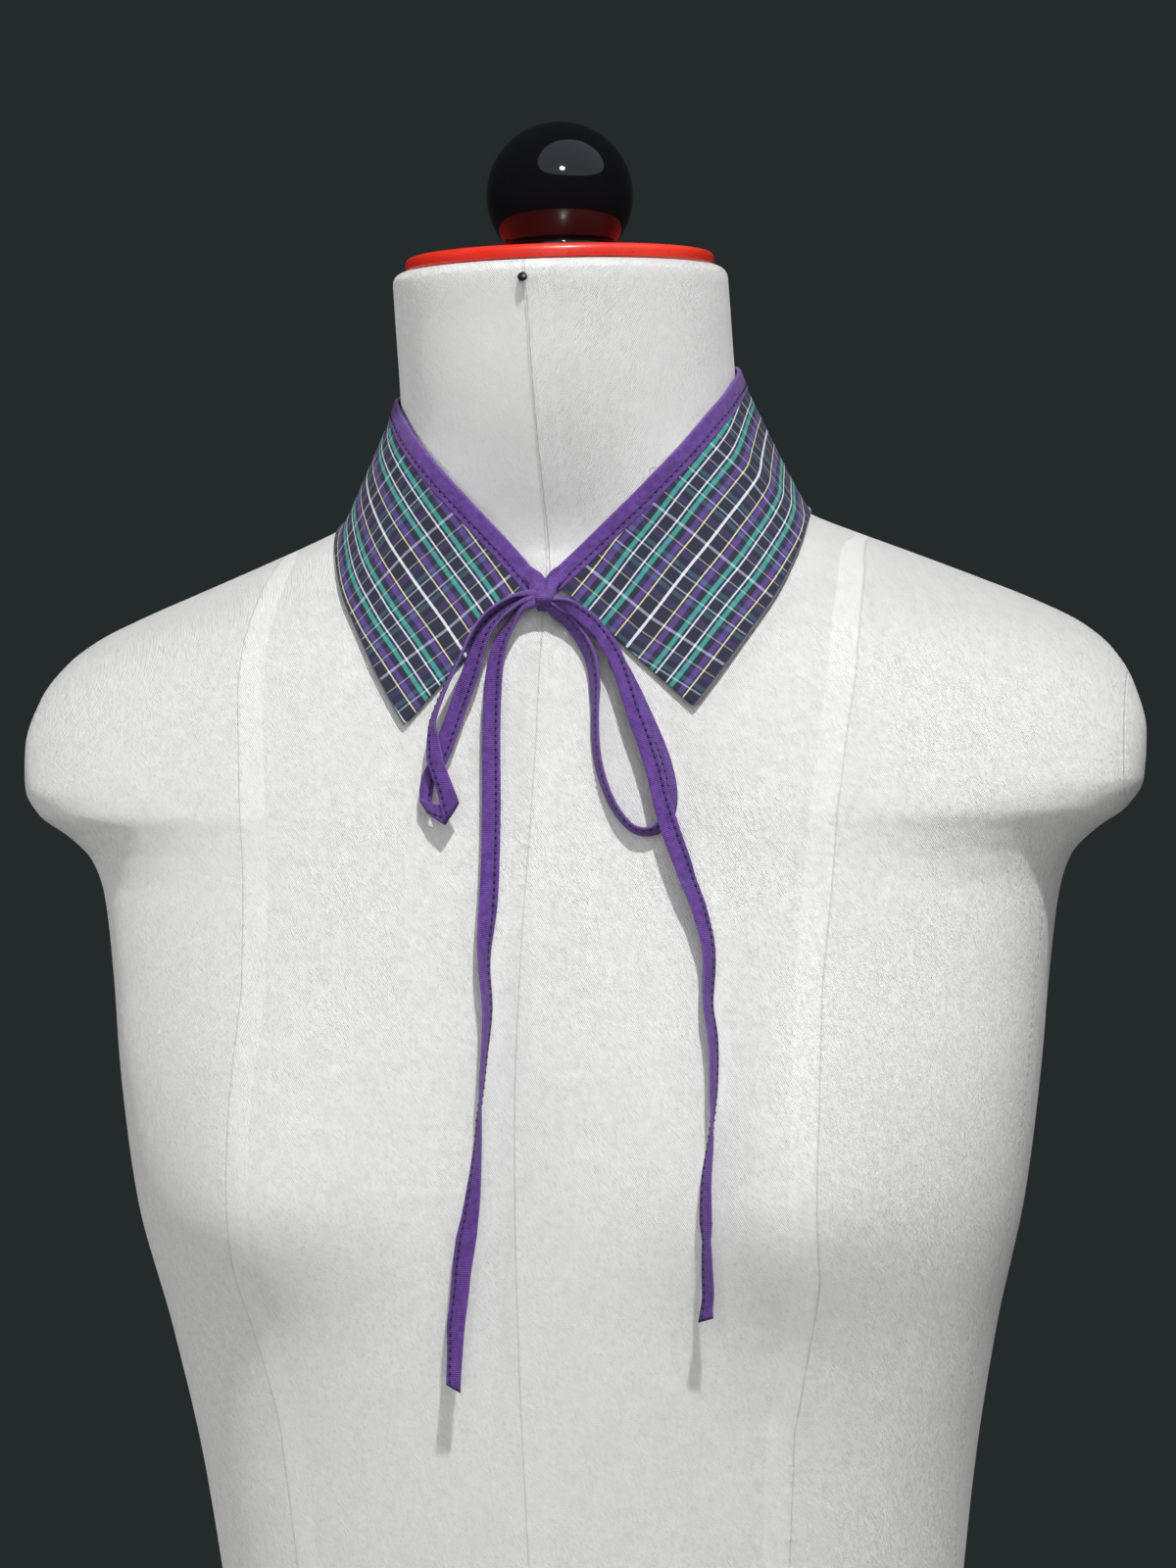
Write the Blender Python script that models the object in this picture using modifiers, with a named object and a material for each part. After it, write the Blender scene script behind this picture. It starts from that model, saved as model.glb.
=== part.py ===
"""Fabric collar necklace tied on a limbless dress form.

A pointed check collar with no shirt: one doubled fall of cloth, its neck edge held in a
narrow bias tape that runs on into two ties, knotted in a bow at the throat. It is worn on
a white dress form with a red neck cap and a black ball knob. The form stands on its hips.

Metres, +Z up. The form faces -Y, so its left side is towards +X. The origin is under the
middle of the form, on the surface that it stands on. The tables and sizes below are in
millimetres.
"""
import math

import bpy
import numpy as np

MM = 0.001
NAME = "fabric_collar_necklace"
ORIGIN_Y = 1.05           # moves everything so that the origin is under the middle

# ---------------------------------------------------------------- sizes of the form
FORM_COLUMNS = 48         # points round the body
NECK_TOP = 694.5          # top of the cover, at the middle of the neck
NECK_TILT = 0.062         # the neck plate leans forward by this slope
TILT_FROM = 668.0         # the lean fades in above this height
BUST_X = 86.0
BUST_Z = 394.0
BUST_RISE = 15.0
BUST_SPREAD = 36.0
BUST_ABOVE = 54.0
BUST_BELOW = 38.0

# One row for each measured level: the widest half, where it lies, front, back and how
# square the level is (2 is an ellipse).
FORM = (
    ("z", "half_width", "mid_y", "front_y", "back_y", "power"),
    (0, 168, 4, -104, 112, 2.25),
    (40, 166, 3, -105.5, 112, 2.25),
    (90, 154, 1, -102.5, 103, 2.25),
    (140, 137, -1, -95.5, 87, 2.2),
    (185, 124, -4, -91, 73, 2.2),
    (220, 120.5, -6, -91, 69, 2.2),
    (255, 124.5, -8, -95.5, 73, 2.25),
    (300, 130, -12, -102, 82, 2.3),
    (345, 138, -19, -106.5, 87, 2.35),
    (390, 148.5, -26, -108.5, 91, 2.35),
    (430, 154, -27, -106, 94.5, 2.35),
    (465, 157.5, -27, -99.5, 95.5, 2.3),
    (490, 161, -27, -93.5, 95.5, 2.3),
    (501, 165, -28, -90.5, 95, 2.35),
    (509, 173, -29, -88.3, 94, 2.4),
    (516, 183, -30, -86.5, 93, 2.45),
    (525, 188.5, -30, -84, 91.5, 2.45),
    (540, 189.5, -28, -80, 88, 2.4),
    (556, 185.5, -24, -75.7, 83, 2.3),
    (568, 178, -18, -72, 78, 2.2),
    (576, 168.5, -14, -68.8, 74, 2.1),
    (584, 153, -10, -65, 69.5, 2.0),
    (592, 134, -8, -61.5, 64, 1.9),
    (600, 114, -7, -60.5, 58.5, 1.85),
    (607, 96, -7, -61.8, 53.5, 1.85),
    (614, 79, -9, -64.3, 49, 1.9),
    (621, 67.5, -12, -67.3, 45, 1.95),
    (630, 60.5, -15.5, -71, 40, 2.0),
    (642, 57, -19.5, -75.7, 34.5, 2.0),
    (660, 55.9, -25, -81.3, 29, 2.0),
    (680, 55.6, -31, -86, 24, 2.0),
    (700, 55.2, -36.5, -90.5, 18.5, 2.0),
)
# The heights at which the body is lofted, as runs: from, to, how many steps.
FORM_RUNS = (
    ("from_z", "to_z", "steps"),
    (4, 220, 6),
    (220, 480, 9),
    (480, 509, 3),
    (509, 525, 3),
    (525, 568, 4),
    (568, 630, 11),
    (630, 688, 5),
)
EDGE_ROUND = 3.5          # rounded lower rim and neck rim

CAP_RADIUS = 51.0
CAP_THICK = 4.6
CAP_ROUND = 1.5
KNOB_RADIUS = 24.3
KNOB_FOOT_RADIUS = 20.6
KNOB_FOOT = 3.4           # height of the foot under the ball
KNOB_MID = 19.8           # ball's middle above the cap
PIN_RADIUS = 1.6
PIN_Z = 685.0
SEAT = 0.3                # clearance between neighbours

# ---------------------------------------------------------------- sizes of the collar
COLLAR_WALL = 1.2         # two layers of shirting and their turnings
BINDING_WALL = 1.7        # the tape folded over the neck edge
TAPE_WIDTH = 6.0
TIE_WALL = 1.0            # the tape folded shut and stitched
COLLAR_CLEAR = 1.15        # wall's middle above the form, at least
COLLAR_SWELL = 0.8        # outward curve between neck and outer edge
COLLAR_STEPS = 64         # stations from one front point round to the other
FALL_STEPS = 8            # stations from the binding to the outer edge

# The neck edge: turn round the neck from the front in degrees, height on the wearer's
# left (+X) and right (-X), and how far the cloth's middle stands off the neck.
NECK_EDGE = (
    ("turn", "z_left", "z_right", "off"),
    (0.9, 591.0, 591.0, 2.6),
    (12.4, 601.5, 603.9, 2.1),
    (21.0, 609.7, 613.5, 1.7),
    (30.3, 618.0, 622.7, 1.4),
    (39.8, 626.4, 631.3, 1.3),
    (50.5, 635.3, 639.8, 1.3),
    (63.3, 645.0, 648.6, 1.2),
    (73.8, 651.2, 652.6, 1.1),
    (84.5, 656.8, 655.0, 1.1),
    (110.0, 663.8, 659.6, 1.2),
    (140.0, 666.6, 664.4, 1.4),
    (180.0, 667.5, 667.5, 1.5),
)
# The outer edge from the front point to the centre back, on the wearer's left (+X) and
# right (-X). The worn collar has slipped a little to its left.
OUTER_EDGE_LEFT = (
    ("x", "y", "z"),
    (52.0, -79.0, 549.0),
    (56.3, -77.0, 554.8),
    (62.4, -73.6, 563.5),
    (69.5, -68.0, 574.4),
    (74.8, -61.2, 583.4),
    (79.0, -51.5, 594.2),
    (81.4, -41.5, 603.8),
    (81.3, -29.0, 610.8),
    (79.0, -12.0, 614.6),
    (72.0, 7.5, 617.4),
    (59.5, 24.5, 619.4),
    (41.5, 38.0, 619.8),
    (21.0, 46.0, 619.4),
    (0.0, 48.6, 619.0),
)
OUTER_EDGE_RIGHT = (
    ("x", "y", "z"),
    (-42.4, -80.6, 544.4),
    (-48.7, -77.7, 554.0),
    (-56.1, -73.1, 566.4),
    (-62.7, -67.0, 577.6),
    (-67.6, -61.3, 585.6),
    (-72.2, -53.0, 595.0),
    (-75.6, -43.5, 603.8),
    (-77.4, -30.0, 610.2),
    (-76.6, -12.0, 614.6),
    (-70.5, 7.5, 617.6),
    (-58.5, 24.5, 619.4),
    (-41.0, 38.0, 619.8),
    (-21.0, 46.0, 619.4),
    (0.0, 48.6, 619.0),
)

# ---------------------------------------------------------------- knot and ties
KNOT_X = 2.8
KNOT_Z = 584.4
KNOT_OFF = 7.0            # its middle in front of the chest
KNOT_HALF = (3.5, 3.2, 2.7)
TAIL_STEP = 5.0           # spacing of the lofted sections along a tail
LOOP_STEP = 3.2           # and round a loop

# Routes: x and z across the front, off the chest, and the turn of the tape about its own
# length: 0 lies flat on the chest, 90 stands on edge.
TAIL_LEFT_HAND = (
    ("x", "z", "off", "turn"),
    (-1.7, 582.8, 6.6, -84),
    (-4.8, 581.5, 6.4, -76),
    (-7.3, 578.8, 5.6, -56),
    (-9.2, 575.5, 5.2, -44),
    (-11.0, 571.5, 4.9, -33),
    (-12.4, 565.2, 4.7, -20),
    (-12.9, 556.6, 4.6, -8),
    (-12.6, 540.9, 4.6, 0),
    (-11.7, 525.3, 4.6, 3),
    (-10.9, 509.9, 4.7, 5),
    (-10.5, 496.1, 4.9, 8),
    (-10.6, 485.4, 4.9, 28),
    (-11.1, 474.8, 4.7, 58),
    (-10.8, 467.2, 4.5, 70),
    (-9.5, 456.6, 4.3, 75),
    (-9.4, 449.1, 4.4, 81),
    (-9.8, 440.1, 4.5, 90),
    (-10.4, 429.6, 4.8, 97),
    (-10.8, 422.1, 5.1, 112),
    (-11.1, 413.1, 5.4, 123),
    (-11.8, 404.1, 5.7, 139),
    (-12.8, 395.1, 6.2, 158),
    (-13.8, 388.2, 6.6, 172),
    (-15.2, 380.0, 7.0, 190),
    (-16.1, 373.3, 7.4, 202),
    (-17.6, 360.0, 8.2, 222),
    (-18.5, 348.4, 8.8, 232),
    (-19.2, 338.0, 9.2, 236),
)
TAIL_RIGHT_HAND = (
    ("x", "z", "off", "turn"),
    (7.8, 585.2, 7.8, 91),
    (10.4, 584.4, 9.0, 96),
    (14.4, 581.1, 11.2, 120),
    (18.6, 576.1, 10.8, 141),
    (22.6, 570.2, 9.4, 150),
    (26.3, 563.3, 8.0, 160),
    (29.8, 555.6, 7.4, 170),
    (35.1, 543.1, 6.8, 177),
    (39.6, 530.8, 7.0, 180),
    (44.3, 518.5, 7.6, 182),
    (48.6, 506.4, 7.6, 192),
    (51.0, 500.4, 7.2, 210),
    (53.2, 494.3, 6.6, 225),
    (55.8, 488.2, 6.0, 230),
    (57.7, 482.2, 5.6, 233),
    (59.4, 476.2, 5.2, 239),
    (60.2, 470.2, 5.0, 243),
    (60.2, 462.7, 4.8, 247),
    (60.4, 456.2, 4.6, 254),
    (61.8, 449.4, 4.6, 254),
    (62.9, 440.7, 4.6, 257),
    (63.2, 431.9, 4.6, 262),
    (63.1, 423.7, 4.6, 274),
    (62.6, 414.3, 4.6, 294),
    (61.7, 405.5, 4.8, 306),
    (61.4, 396.7, 4.9, 315),
    (61.5, 386.3, 5.3, 319),
    (61.4, 375.7, 6.2, 325),
    (60.8, 366.6, 7.6, 332),
    (60.3, 361.4, 8.6, 338),
)
LOOP_LEFT_HAND = (
    ("x", "z", "off", "turn"),
    (-1.7, 586.2, 7.4, 86),
    (-5.8, 585.5, 7.8, 84),
    (-10.2, 583.3, 9.2, 80),
    (-15.1, 579.6, 10.4, 84),
    (-19.7, 572.9, 10.8, 94),
    (-23.4, 564.4, 10.8, 105),
    (-26.7, 557.0, 10.6, 110),
    (-29.2, 550.4, 10.4, 114),
    (-30.8, 544.2, 10.2, 122),
    (-30.5, 538.9, 10.0, 137),
    (-29.2, 533.6, 9.6, 150),
    (-26.8, 528.3, 9.2, 152),
    (-24.6, 523.6, 8.6, 147),
    (-23.8, 519.3, 7.8, 143),
    (-26.0, 515.9, 7.0, 142),
    (-29.3, 516.5, 6.4, 142),
    (-31.3, 520.2, 5.6, 142),
    (-32.1, 524.9, 4.6, 147),
    (-31.6, 528.9, 4.0, 158),
    (-30.8, 532.7, 3.8, 170),
    (-28.9, 538.0, 4.0, 178),
    (-26.3, 544.2, 4.4, 182),
    (-23.8, 550.7, 5.2, 184),
    (-21.5, 556.7, 6.2, 186),
    (-19.1, 564.5, 7.2, 192),
    (-16.9, 572.3, 8.2, 204),
    (-13.4, 578.0, 8.4, 222),
    (-8.5, 582.0, 7.8, 246),
    (-5.2, 583.6, 7.2, 262),
    (-1.7, 584.5, 7.0, 266),
)
LOOP_RIGHT_HAND = (
    ("x", "z", "off", "turn"),
    (7.3, 581.4, 6.6, 94),
    (9.6, 579.3, 6.4, 106),
    (12.8, 574.7, 5.2, 122),
    (16.6, 569.3, 4.8, 128),
    (19.2, 562.3, 4.4, 125),
    (20.3, 555.1, 3.9, 123),
    (20.6, 547.3, 3.6, 122),
    (21.0, 539.8, 3.5, 123),
    (21.9, 533.6, 3.4, 123),
    (24.6, 524.9, 3.5, 122),
    (27.9, 518.2, 3.5, 120),
    (32.0, 512.9, 3.5, 118),
    (36.0, 510.2, 3.5, 116),
    (39.9, 510.0, 3.5, 114),
    (43.6, 511.9, 3.5, 114),
    (45.6, 515.5, 3.5, 116),
    (46.1, 520.1, 3.5, 118),
    (45.3, 525.7, 3.5, 120),
    (43.5, 531.8, 3.5, 121),
    (40.7, 538.6, 3.5, 121),
    (36.9, 546.4, 3.5, 121),
    (32.7, 554.3, 3.6, 126),
    (28.2, 561.5, 3.8, 140),
    (22.4, 570.0, 4.3, 156),
    (16.8, 576.4, 5.2, 162),
    (10.4, 581.7, 6.1, 98),
    (7.5, 583.0, 5.8, 90),
)

# ---------------------------------------------------------------- colours
COVER_WHITE = (0.80, 0.80, 0.785, 1.0)
CAP_RED = (0.72, 0.035, 0.018, 1.0)
KNOB_BLACK = (0.008, 0.008, 0.009, 1.0)
PIN_BLACK = (0.01, 0.01, 0.012, 1.0)
CHECK_NAVY = (0.030, 0.034, 0.075, 1.0)
TAPE_PURPLE = (0.100, 0.030, 0.240, 1.0)


# ---------------------------------------------------------------- tables and curves
def column(table, name):
    place = table[0].index(name)
    return np.array([row[place] for row in table[1:]], dtype=float)


def monotone(knots, values, at):
    """Cubic through the knots that never swings past them."""
    gap = np.diff(knots)
    slope = np.diff(values) / gap
    tangent = np.zeros_like(values)
    tangent[0], tangent[-1] = slope[0], slope[-1]
    for i in range(1, len(values) - 1):
        if slope[i - 1] * slope[i] > 0:
            one = 2 * gap[i] + gap[i - 1]
            two = gap[i] + 2 * gap[i - 1]
            tangent[i] = (one + two) / (one / slope[i - 1] + two / slope[i])
    at = np.clip(np.asarray(at, dtype=float), knots[0], knots[-1])
    k = np.clip(np.searchsorted(knots, at) - 1, 0, len(gap) - 1)
    t = (at - knots[k]) / gap[k]
    first = (1 + 2 * t) * (1 - t) ** 2 * values[k] + t * (1 - t) ** 2 * gap[k] * tangent[k]
    last = t * t * (3 - 2 * t) * values[k + 1] + t * t * (t - 1) * gap[k] * tangent[k + 1]
    return first + last


def smooth_curve(points, count):
    """Points evenly spaced along a smooth curve through the given ones."""
    points = np.asarray(points, dtype=float)
    chord = np.r_[0.0, np.cumsum(np.linalg.norm(np.diff(points[:, :3], axis=0), axis=1))]
    n = len(points)
    gap = np.diff(chord)
    matrix = np.zeros((n, n))
    right = np.zeros_like(points)
    matrix[0, 0] = matrix[-1, -1] = 1.0
    for i in range(1, n - 1):
        matrix[i, i - 1], matrix[i, i + 1] = gap[i - 1], gap[i]
        matrix[i, i] = 2 * (gap[i - 1] + gap[i])
        rise = (points[i + 1] - points[i]) / gap[i] - (points[i] - points[i - 1]) / gap[i - 1]
        right[i] = 6 * rise
    bend = np.linalg.solve(matrix, right)

    def at(s):
        k = np.clip(np.searchsorted(chord, s) - 1, 0, n - 2)
        h = gap[k][:, None]
        a = (chord[k + 1] - s)[:, None]
        b = (s - chord[k])[:, None]
        line = (points[k] / h - bend[k] * h / 6) * a + (points[k + 1] / h - bend[k + 1] * h / 6) * b
        return line + (bend[k] * a ** 3 + bend[k + 1] * b ** 3) / (6 * h)

    fine = at(np.linspace(0.0, chord[-1], 1200))
    run = np.r_[0.0, np.cumsum(np.linalg.norm(np.diff(fine[:, :3], axis=0), axis=1))]
    even = np.interp(np.linspace(0.0, run[-1], count), run, np.linspace(0.0, chord[-1], 1200))
    return at(even), run[-1]


# ---------------------------------------------------------------- the form's surface
def form_level(z):
    heights = column(FORM, "z")
    names = ("half_width", "mid_y", "front_y", "back_y", "power")
    return [monotone(heights, column(FORM, name), z) for name in names]


def bust_rise(x, z):
    spread = np.where(z > BUST_Z, BUST_ABOVE, BUST_BELOW)
    across = ((np.abs(x) - BUST_X) / BUST_SPREAD) ** 2
    return BUST_RISE * np.exp(-across - ((z - BUST_Z) / spread) ** 2)


def form_ring(z, count, inset=0.0):
    """One level of the body, run round from its left side."""
    half, mid, front, back, power = [float(v) for v in form_level(z)]
    half, front, back = half - inset, front + inset, back - inset
    turn = np.linspace(0.0, 2 * math.pi, count, endpoint=False)
    c, s = np.cos(turn), np.sin(turn)
    x = half * np.sign(c) * np.abs(c) ** (2 / power)
    deep = np.sign(s) * np.abs(s) ** (2 / power)
    y = np.where(s < 0, mid + (mid - front) * deep, mid + (back - mid) * deep)
    fade = np.clip(-deep / 0.35, 0.0, 1.0)
    y = y - bust_rise(x, z) * fade * fade * (3 - 2 * fade)
    lean = np.clip((z - TILT_FROM) / (NECK_TOP - TILT_FROM), 0.0, 1.0)
    tall = z + NECK_TILT * (y - mid) * lean * lean * (3 - 2 * lean)
    return np.stack([x, y, np.full(count, 1.0) * tall], axis=1)


def outside(points):
    """How far points lie outside the body, measured level."""
    x, y, z = points[:, 0], points[:, 1], points[:, 2]
    half, mid, front, back, power = form_level(z)
    y = y + bust_rise(x, z) * (y < mid)
    deep = np.where(y < mid, mid - front, back - mid)
    reach = np.hypot(x, y - mid)
    reach = np.maximum(reach, 1e-6)
    sx, sy = np.abs(x) / reach, np.abs(y - mid) / reach
    return reach - ((sx / half) ** power + (sy / deep) ** power) ** (-1 / power)


def clear_of_form(points, least):
    """Move points out along the body's surface normal until they clear it."""
    points = np.array(points, dtype=float)
    for _ in range(3):
        grad = np.zeros_like(points)
        for axis in range(3):
            step = np.zeros(3)
            step[axis] = 0.5
            grad[:, axis] = outside(points + step) - outside(points - step)
        size = np.linalg.norm(grad, axis=1)
        away = outside(points) / size
        soft = 0.5 * (away + least + np.sqrt((away - least) ** 2 + 0.35))
        points = points + grad / size[:, None] * (soft - away)[:, None]
    return points


def chest_y(x, z):
    half, mid, front, back, power = form_level(z)
    deep = (1 - np.minimum(np.abs(x) / half, 0.999) ** power) ** (1 / power)
    return mid - (mid - front) * deep - bust_rise(x, z)


# ---------------------------------------------------------------- the collar's surface
def neck_edge(side, count):
    turn = np.radians(column(NECK_EDGE, "turn"))
    fine = np.linspace(turn[0], turn[-1], 60)
    heights = column(NECK_EDGE, "z_left" if side > 0 else "z_right")
    z = monotone(turn, heights, fine)
    off = monotone(turn, column(NECK_EDGE, "off"), fine)
    half, mid, front, back, power = form_level(z)
    deep = np.where(fine < math.pi / 2, mid - front, back - mid)
    sx, sy = np.sin(fine), np.cos(fine)
    reach = (np.abs(sx / half) ** power + np.abs(sy / deep) ** power) ** (-1 / power) + off
    points = np.stack([side * reach * sx, mid - reach * sy, z], axis=1)
    return smooth_curve(points, count)


def outer_edge(side, count):
    table = OUTER_EDGE_LEFT if side > 0 else OUTER_EDGE_RIGHT
    points = np.stack([column(table, name) for name in ("x", "y", "z")], axis=1)
    return smooth_curve(points, count)


def both_sides(edge, count):
    """Join the two halves: from the +X front point round the back to the other one."""
    half = count // 2 + 1
    first, length_one = edge(1, half)
    second, length_two = edge(-1, half)
    return np.concatenate([first, second[-2::-1]]), length_one + length_two


def collar_grid(count, drops):
    """The cloth's middle surface; a drop of 0 is the neck edge and 1 the outer edge."""
    neck, _ = both_sides(neck_edge, count)
    outer, _ = both_sides(outer_edge, count)
    rows = []
    for drop in drops:
        line = neck * (1 - drop) + outer * drop
        out = line * np.array([1.0, 1.0, 0.0]) - np.array([0.0, -20.0, 0.0])
        out = out / np.linalg.norm(out, axis=1)[:, None]
        line = line + out * (COLLAR_SWELL * 4 * drop * (1 - drop))
        rows.append(clear_of_form(line, COLLAR_CLEAR))
    return np.stack(rows)


def drop_at(width):
    """The drop at a given width below the neck edge, at each station."""
    neck, _ = both_sides(neck_edge, COLLAR_STEPS)
    outer, _ = both_sides(outer_edge, COLLAR_STEPS)
    return width / np.linalg.norm(outer - neck, axis=1)


# ---------------------------------------------------------------- ties
def tie_route(table, step):
    x, z = column(table, "x"), column(table, "z")
    y = chest_y(x, z) - column(table, "off")
    points = np.stack([x, y, z, column(table, "turn")], axis=1)
    _, length = smooth_curve(points, 2)
    return smooth_curve(points, max(3, int(round(length / step)) + 1))


def tape_sections(route, width, wall):
    """Corner points of the tape's rectangular section at each station."""
    line, turn = route[:, :3], np.radians(route[:, 3])
    along = np.gradient(line, axis=0)
    along /= np.linalg.norm(along, axis=1)[:, None]
    face = np.array([0.0, -1.0, 0.0]) - along * (along @ np.array([0.0, -1.0, 0.0]))[:, None]
    face /= np.linalg.norm(face, axis=1)[:, None]
    side = np.cross(along, face)
    wide = side * np.cos(turn)[:, None] + face * np.sin(turn)[:, None]
    thick = np.cross(wide, along)
    w, t = width / 2, wall / 2
    corners = ((-w, -t), (-w, t), (w, t), (w, -t))
    return np.stack([line + wide * a + thick * b for a, b in corners], axis=1)


# ---------------------------------------------------------------- Blender objects
def clear_scene():
    for item in list(bpy.data.objects):
        bpy.data.objects.remove(item, do_unlink=True)
    for group in list(bpy.data.collections):
        bpy.data.collections.remove(group)


def material(name, colour, roughness, metallic=0.0, coat=0.0):
    made = bpy.data.materials.new(name)
    made.use_nodes = True
    shader = made.node_tree.nodes["Principled BSDF"]
    shader.inputs["Base Color"].default_value = colour
    shader.inputs["Roughness"].default_value = roughness
    shader.inputs["Metallic"].default_value = metallic
    shader.inputs["Coat Weight"].default_value = coat
    made.diffuse_color = colour
    return made


def add_mesh(name, points, faces, look, home):
    world = (np.asarray(points, dtype=float) + np.array([0.0, ORIGIN_Y, 0.0])) * MM
    mesh = bpy.data.meshes.new(name)
    mesh.from_pydata([tuple(p) for p in world], [], faces)
    mesh.materials.append(look)
    made = bpy.data.objects.new(name, mesh)
    home.objects.link(made)
    return made


def loft(name, rings, look, home):
    """A closed body through rings of equal count, with a flat cap at each end."""
    count = len(rings[0])
    faces = [tuple(range(count))[::-1]]
    for level in range(len(rings) - 1):
        low, high = level * count, (level + 1) * count
        for i in range(count):
            j = (i + 1) % count
            faces.append((low + i, low + j, high + j, high + i))
    top = (len(rings) - 1) * count
    faces.append(tuple(top + i for i in range(count)))
    return add_mesh(name, np.concatenate(rings), faces, look, home)


def cloth(name, grid, wall, look, home):
    """An open sheet over a grid of points, thickened both ways."""
    rows, columns = grid.shape[:2]
    faces = []
    for r in range(rows - 1):
        for c in range(columns - 1):
            a = r * columns + c
            faces.append((a, a + columns, a + columns + 1, a + 1))
    made = add_mesh(name, grid.reshape(-1, 3), faces, look, home)
    shell = made.modifiers.new("wall", "SOLIDIFY")
    shell.thickness = wall * MM
    shell.offset = 0.0
    shell.use_even_offset = True
    shell.use_rim = True
    return made


def turned(name, profile, steps, place, tilt, look, home):
    """Turn a profile of (radius, height) about its own upright axis."""
    mesh = bpy.data.meshes.new(name)
    points = [(r * MM, 0.0, h * MM) for r, h in profile]
    mesh.from_pydata(points, [(i, i + 1) for i in range(len(points) - 1)], [])
    mesh.materials.append(look)
    made = bpy.data.objects.new(name, mesh)
    made.location = [(p + q) * MM for p, q in zip(place, (0.0, ORIGIN_Y, 0.0))]
    made.rotation_euler = (tilt, 0.0, 0.0)
    screw = made.modifiers.new("turn", "SCREW")
    screw.angle = 2 * math.pi
    screw.steps = steps
    screw.render_steps = steps
    screw.use_merge_vertices = True
    screw.merge_threshold = 0.0001
    screw.use_normal_calculate = True
    home.objects.link(made)
    return made


# ---------------------------------------------------------------- the pieces
def build_form(home, white, red, black, pin_black):
    levels = [(0.0, EDGE_ROUND)]
    for low, high, steps in FORM_RUNS[1:]:
        run = np.linspace(low, high, steps + 1)[1 if len(levels) > 1 else 0:]
        levels += [(float(z), 0.0) for z in run]
    levels += [(NECK_TOP - 0.3 * EDGE_ROUND, 0.3 * EDGE_ROUND), (NECK_TOP, EDGE_ROUND)]
    rings = [form_ring(z, FORM_COLUMNS, inset) for z, inset in levels]
    loft("form_torso", rings, white, home)

    mid = float(form_level(NECK_TOP)[1])
    front = float(form_level(NECK_TOP)[2])
    back = float(form_level(NECK_TOP)[3])
    centre_y = 0.5 * (front + back)
    top = NECK_TOP + NECK_TILT * (centre_y - mid)
    tilt = math.atan(NECK_TILT)
    base = top + SEAT
    r, c, h = CAP_RADIUS, CAP_ROUND, CAP_THICK
    cap = [(0, 0), (r, 0), (r, h - c), (r - 0.3 * c, h - 0.3 * c), (r - c, h), (0, h)]
    turned("neck_cap", cap, 48, (0.0, centre_y, base), tilt, red, home)

    seat = base + h + SEAT
    start = math.asin((KNOB_FOOT - KNOB_MID) / KNOB_RADIUS)
    knob = [(0, 0), (KNOB_FOOT_RADIUS, 0), (KNOB_FOOT_RADIUS, KNOB_FOOT - 0.6)]
    for i in range(11):
        a = start + (math.pi / 2 - start) * i / 10
        knob.append((KNOB_RADIUS * math.cos(a), KNOB_MID + KNOB_RADIUS * math.sin(a)))
    knob[-1] = (0.0, KNOB_MID + KNOB_RADIUS)
    seat = seat + 2.0 * NECK_TILT
    turned("neck_knob", knob, 28, (0.0, centre_y + 2.0, seat), tilt, black, home)

    y = float(chest_y(np.array([0.3]), np.array([PIN_Z]))[0])
    head = [(0, 0.0), (PIN_RADIUS * 0.8, 0.0), (PIN_RADIUS, 0.5)]
    head += [(PIN_RADIUS * 0.75, 1.1), (0.0, 1.4)]
    turned("neck_pin", head, 12, (0.3, y - 5 * SEAT, PIN_Z), math.pi / 2 - 0.27, pin_black, home)


def build_collar(home, check, purple):
    band = drop_at(TAPE_WIDTH)
    start = drop_at(TAPE_WIDTH + SEAT)
    fine = np.linspace(0.0, 1.0, 41)
    surface = collar_grid(COLLAR_STEPS, fine)

    def strip(first, last, steps):
        rows = []
        for i in range(steps + 1):
            drop = first + (last - first) * i / steps
            place = drop * (len(fine) - 1)
            k = np.clip(place.astype(int), 0, len(fine) - 2)
            f = (place - k)[:, None]
            at = np.arange(surface.shape[1])
            rows.append(surface[k, at] * (1 - f) + surface[k + 1, at] * f)
        return np.stack(rows)

    fall = strip(start, np.ones_like(start), FALL_STEPS)
    binding = strip(np.zeros_like(band), band, 1)
    cloth("collar_fall", fall, COLLAR_WALL, check, home)
    cloth("neck_binding", binding, BINDING_WALL, purple, home)
    return binding


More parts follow.
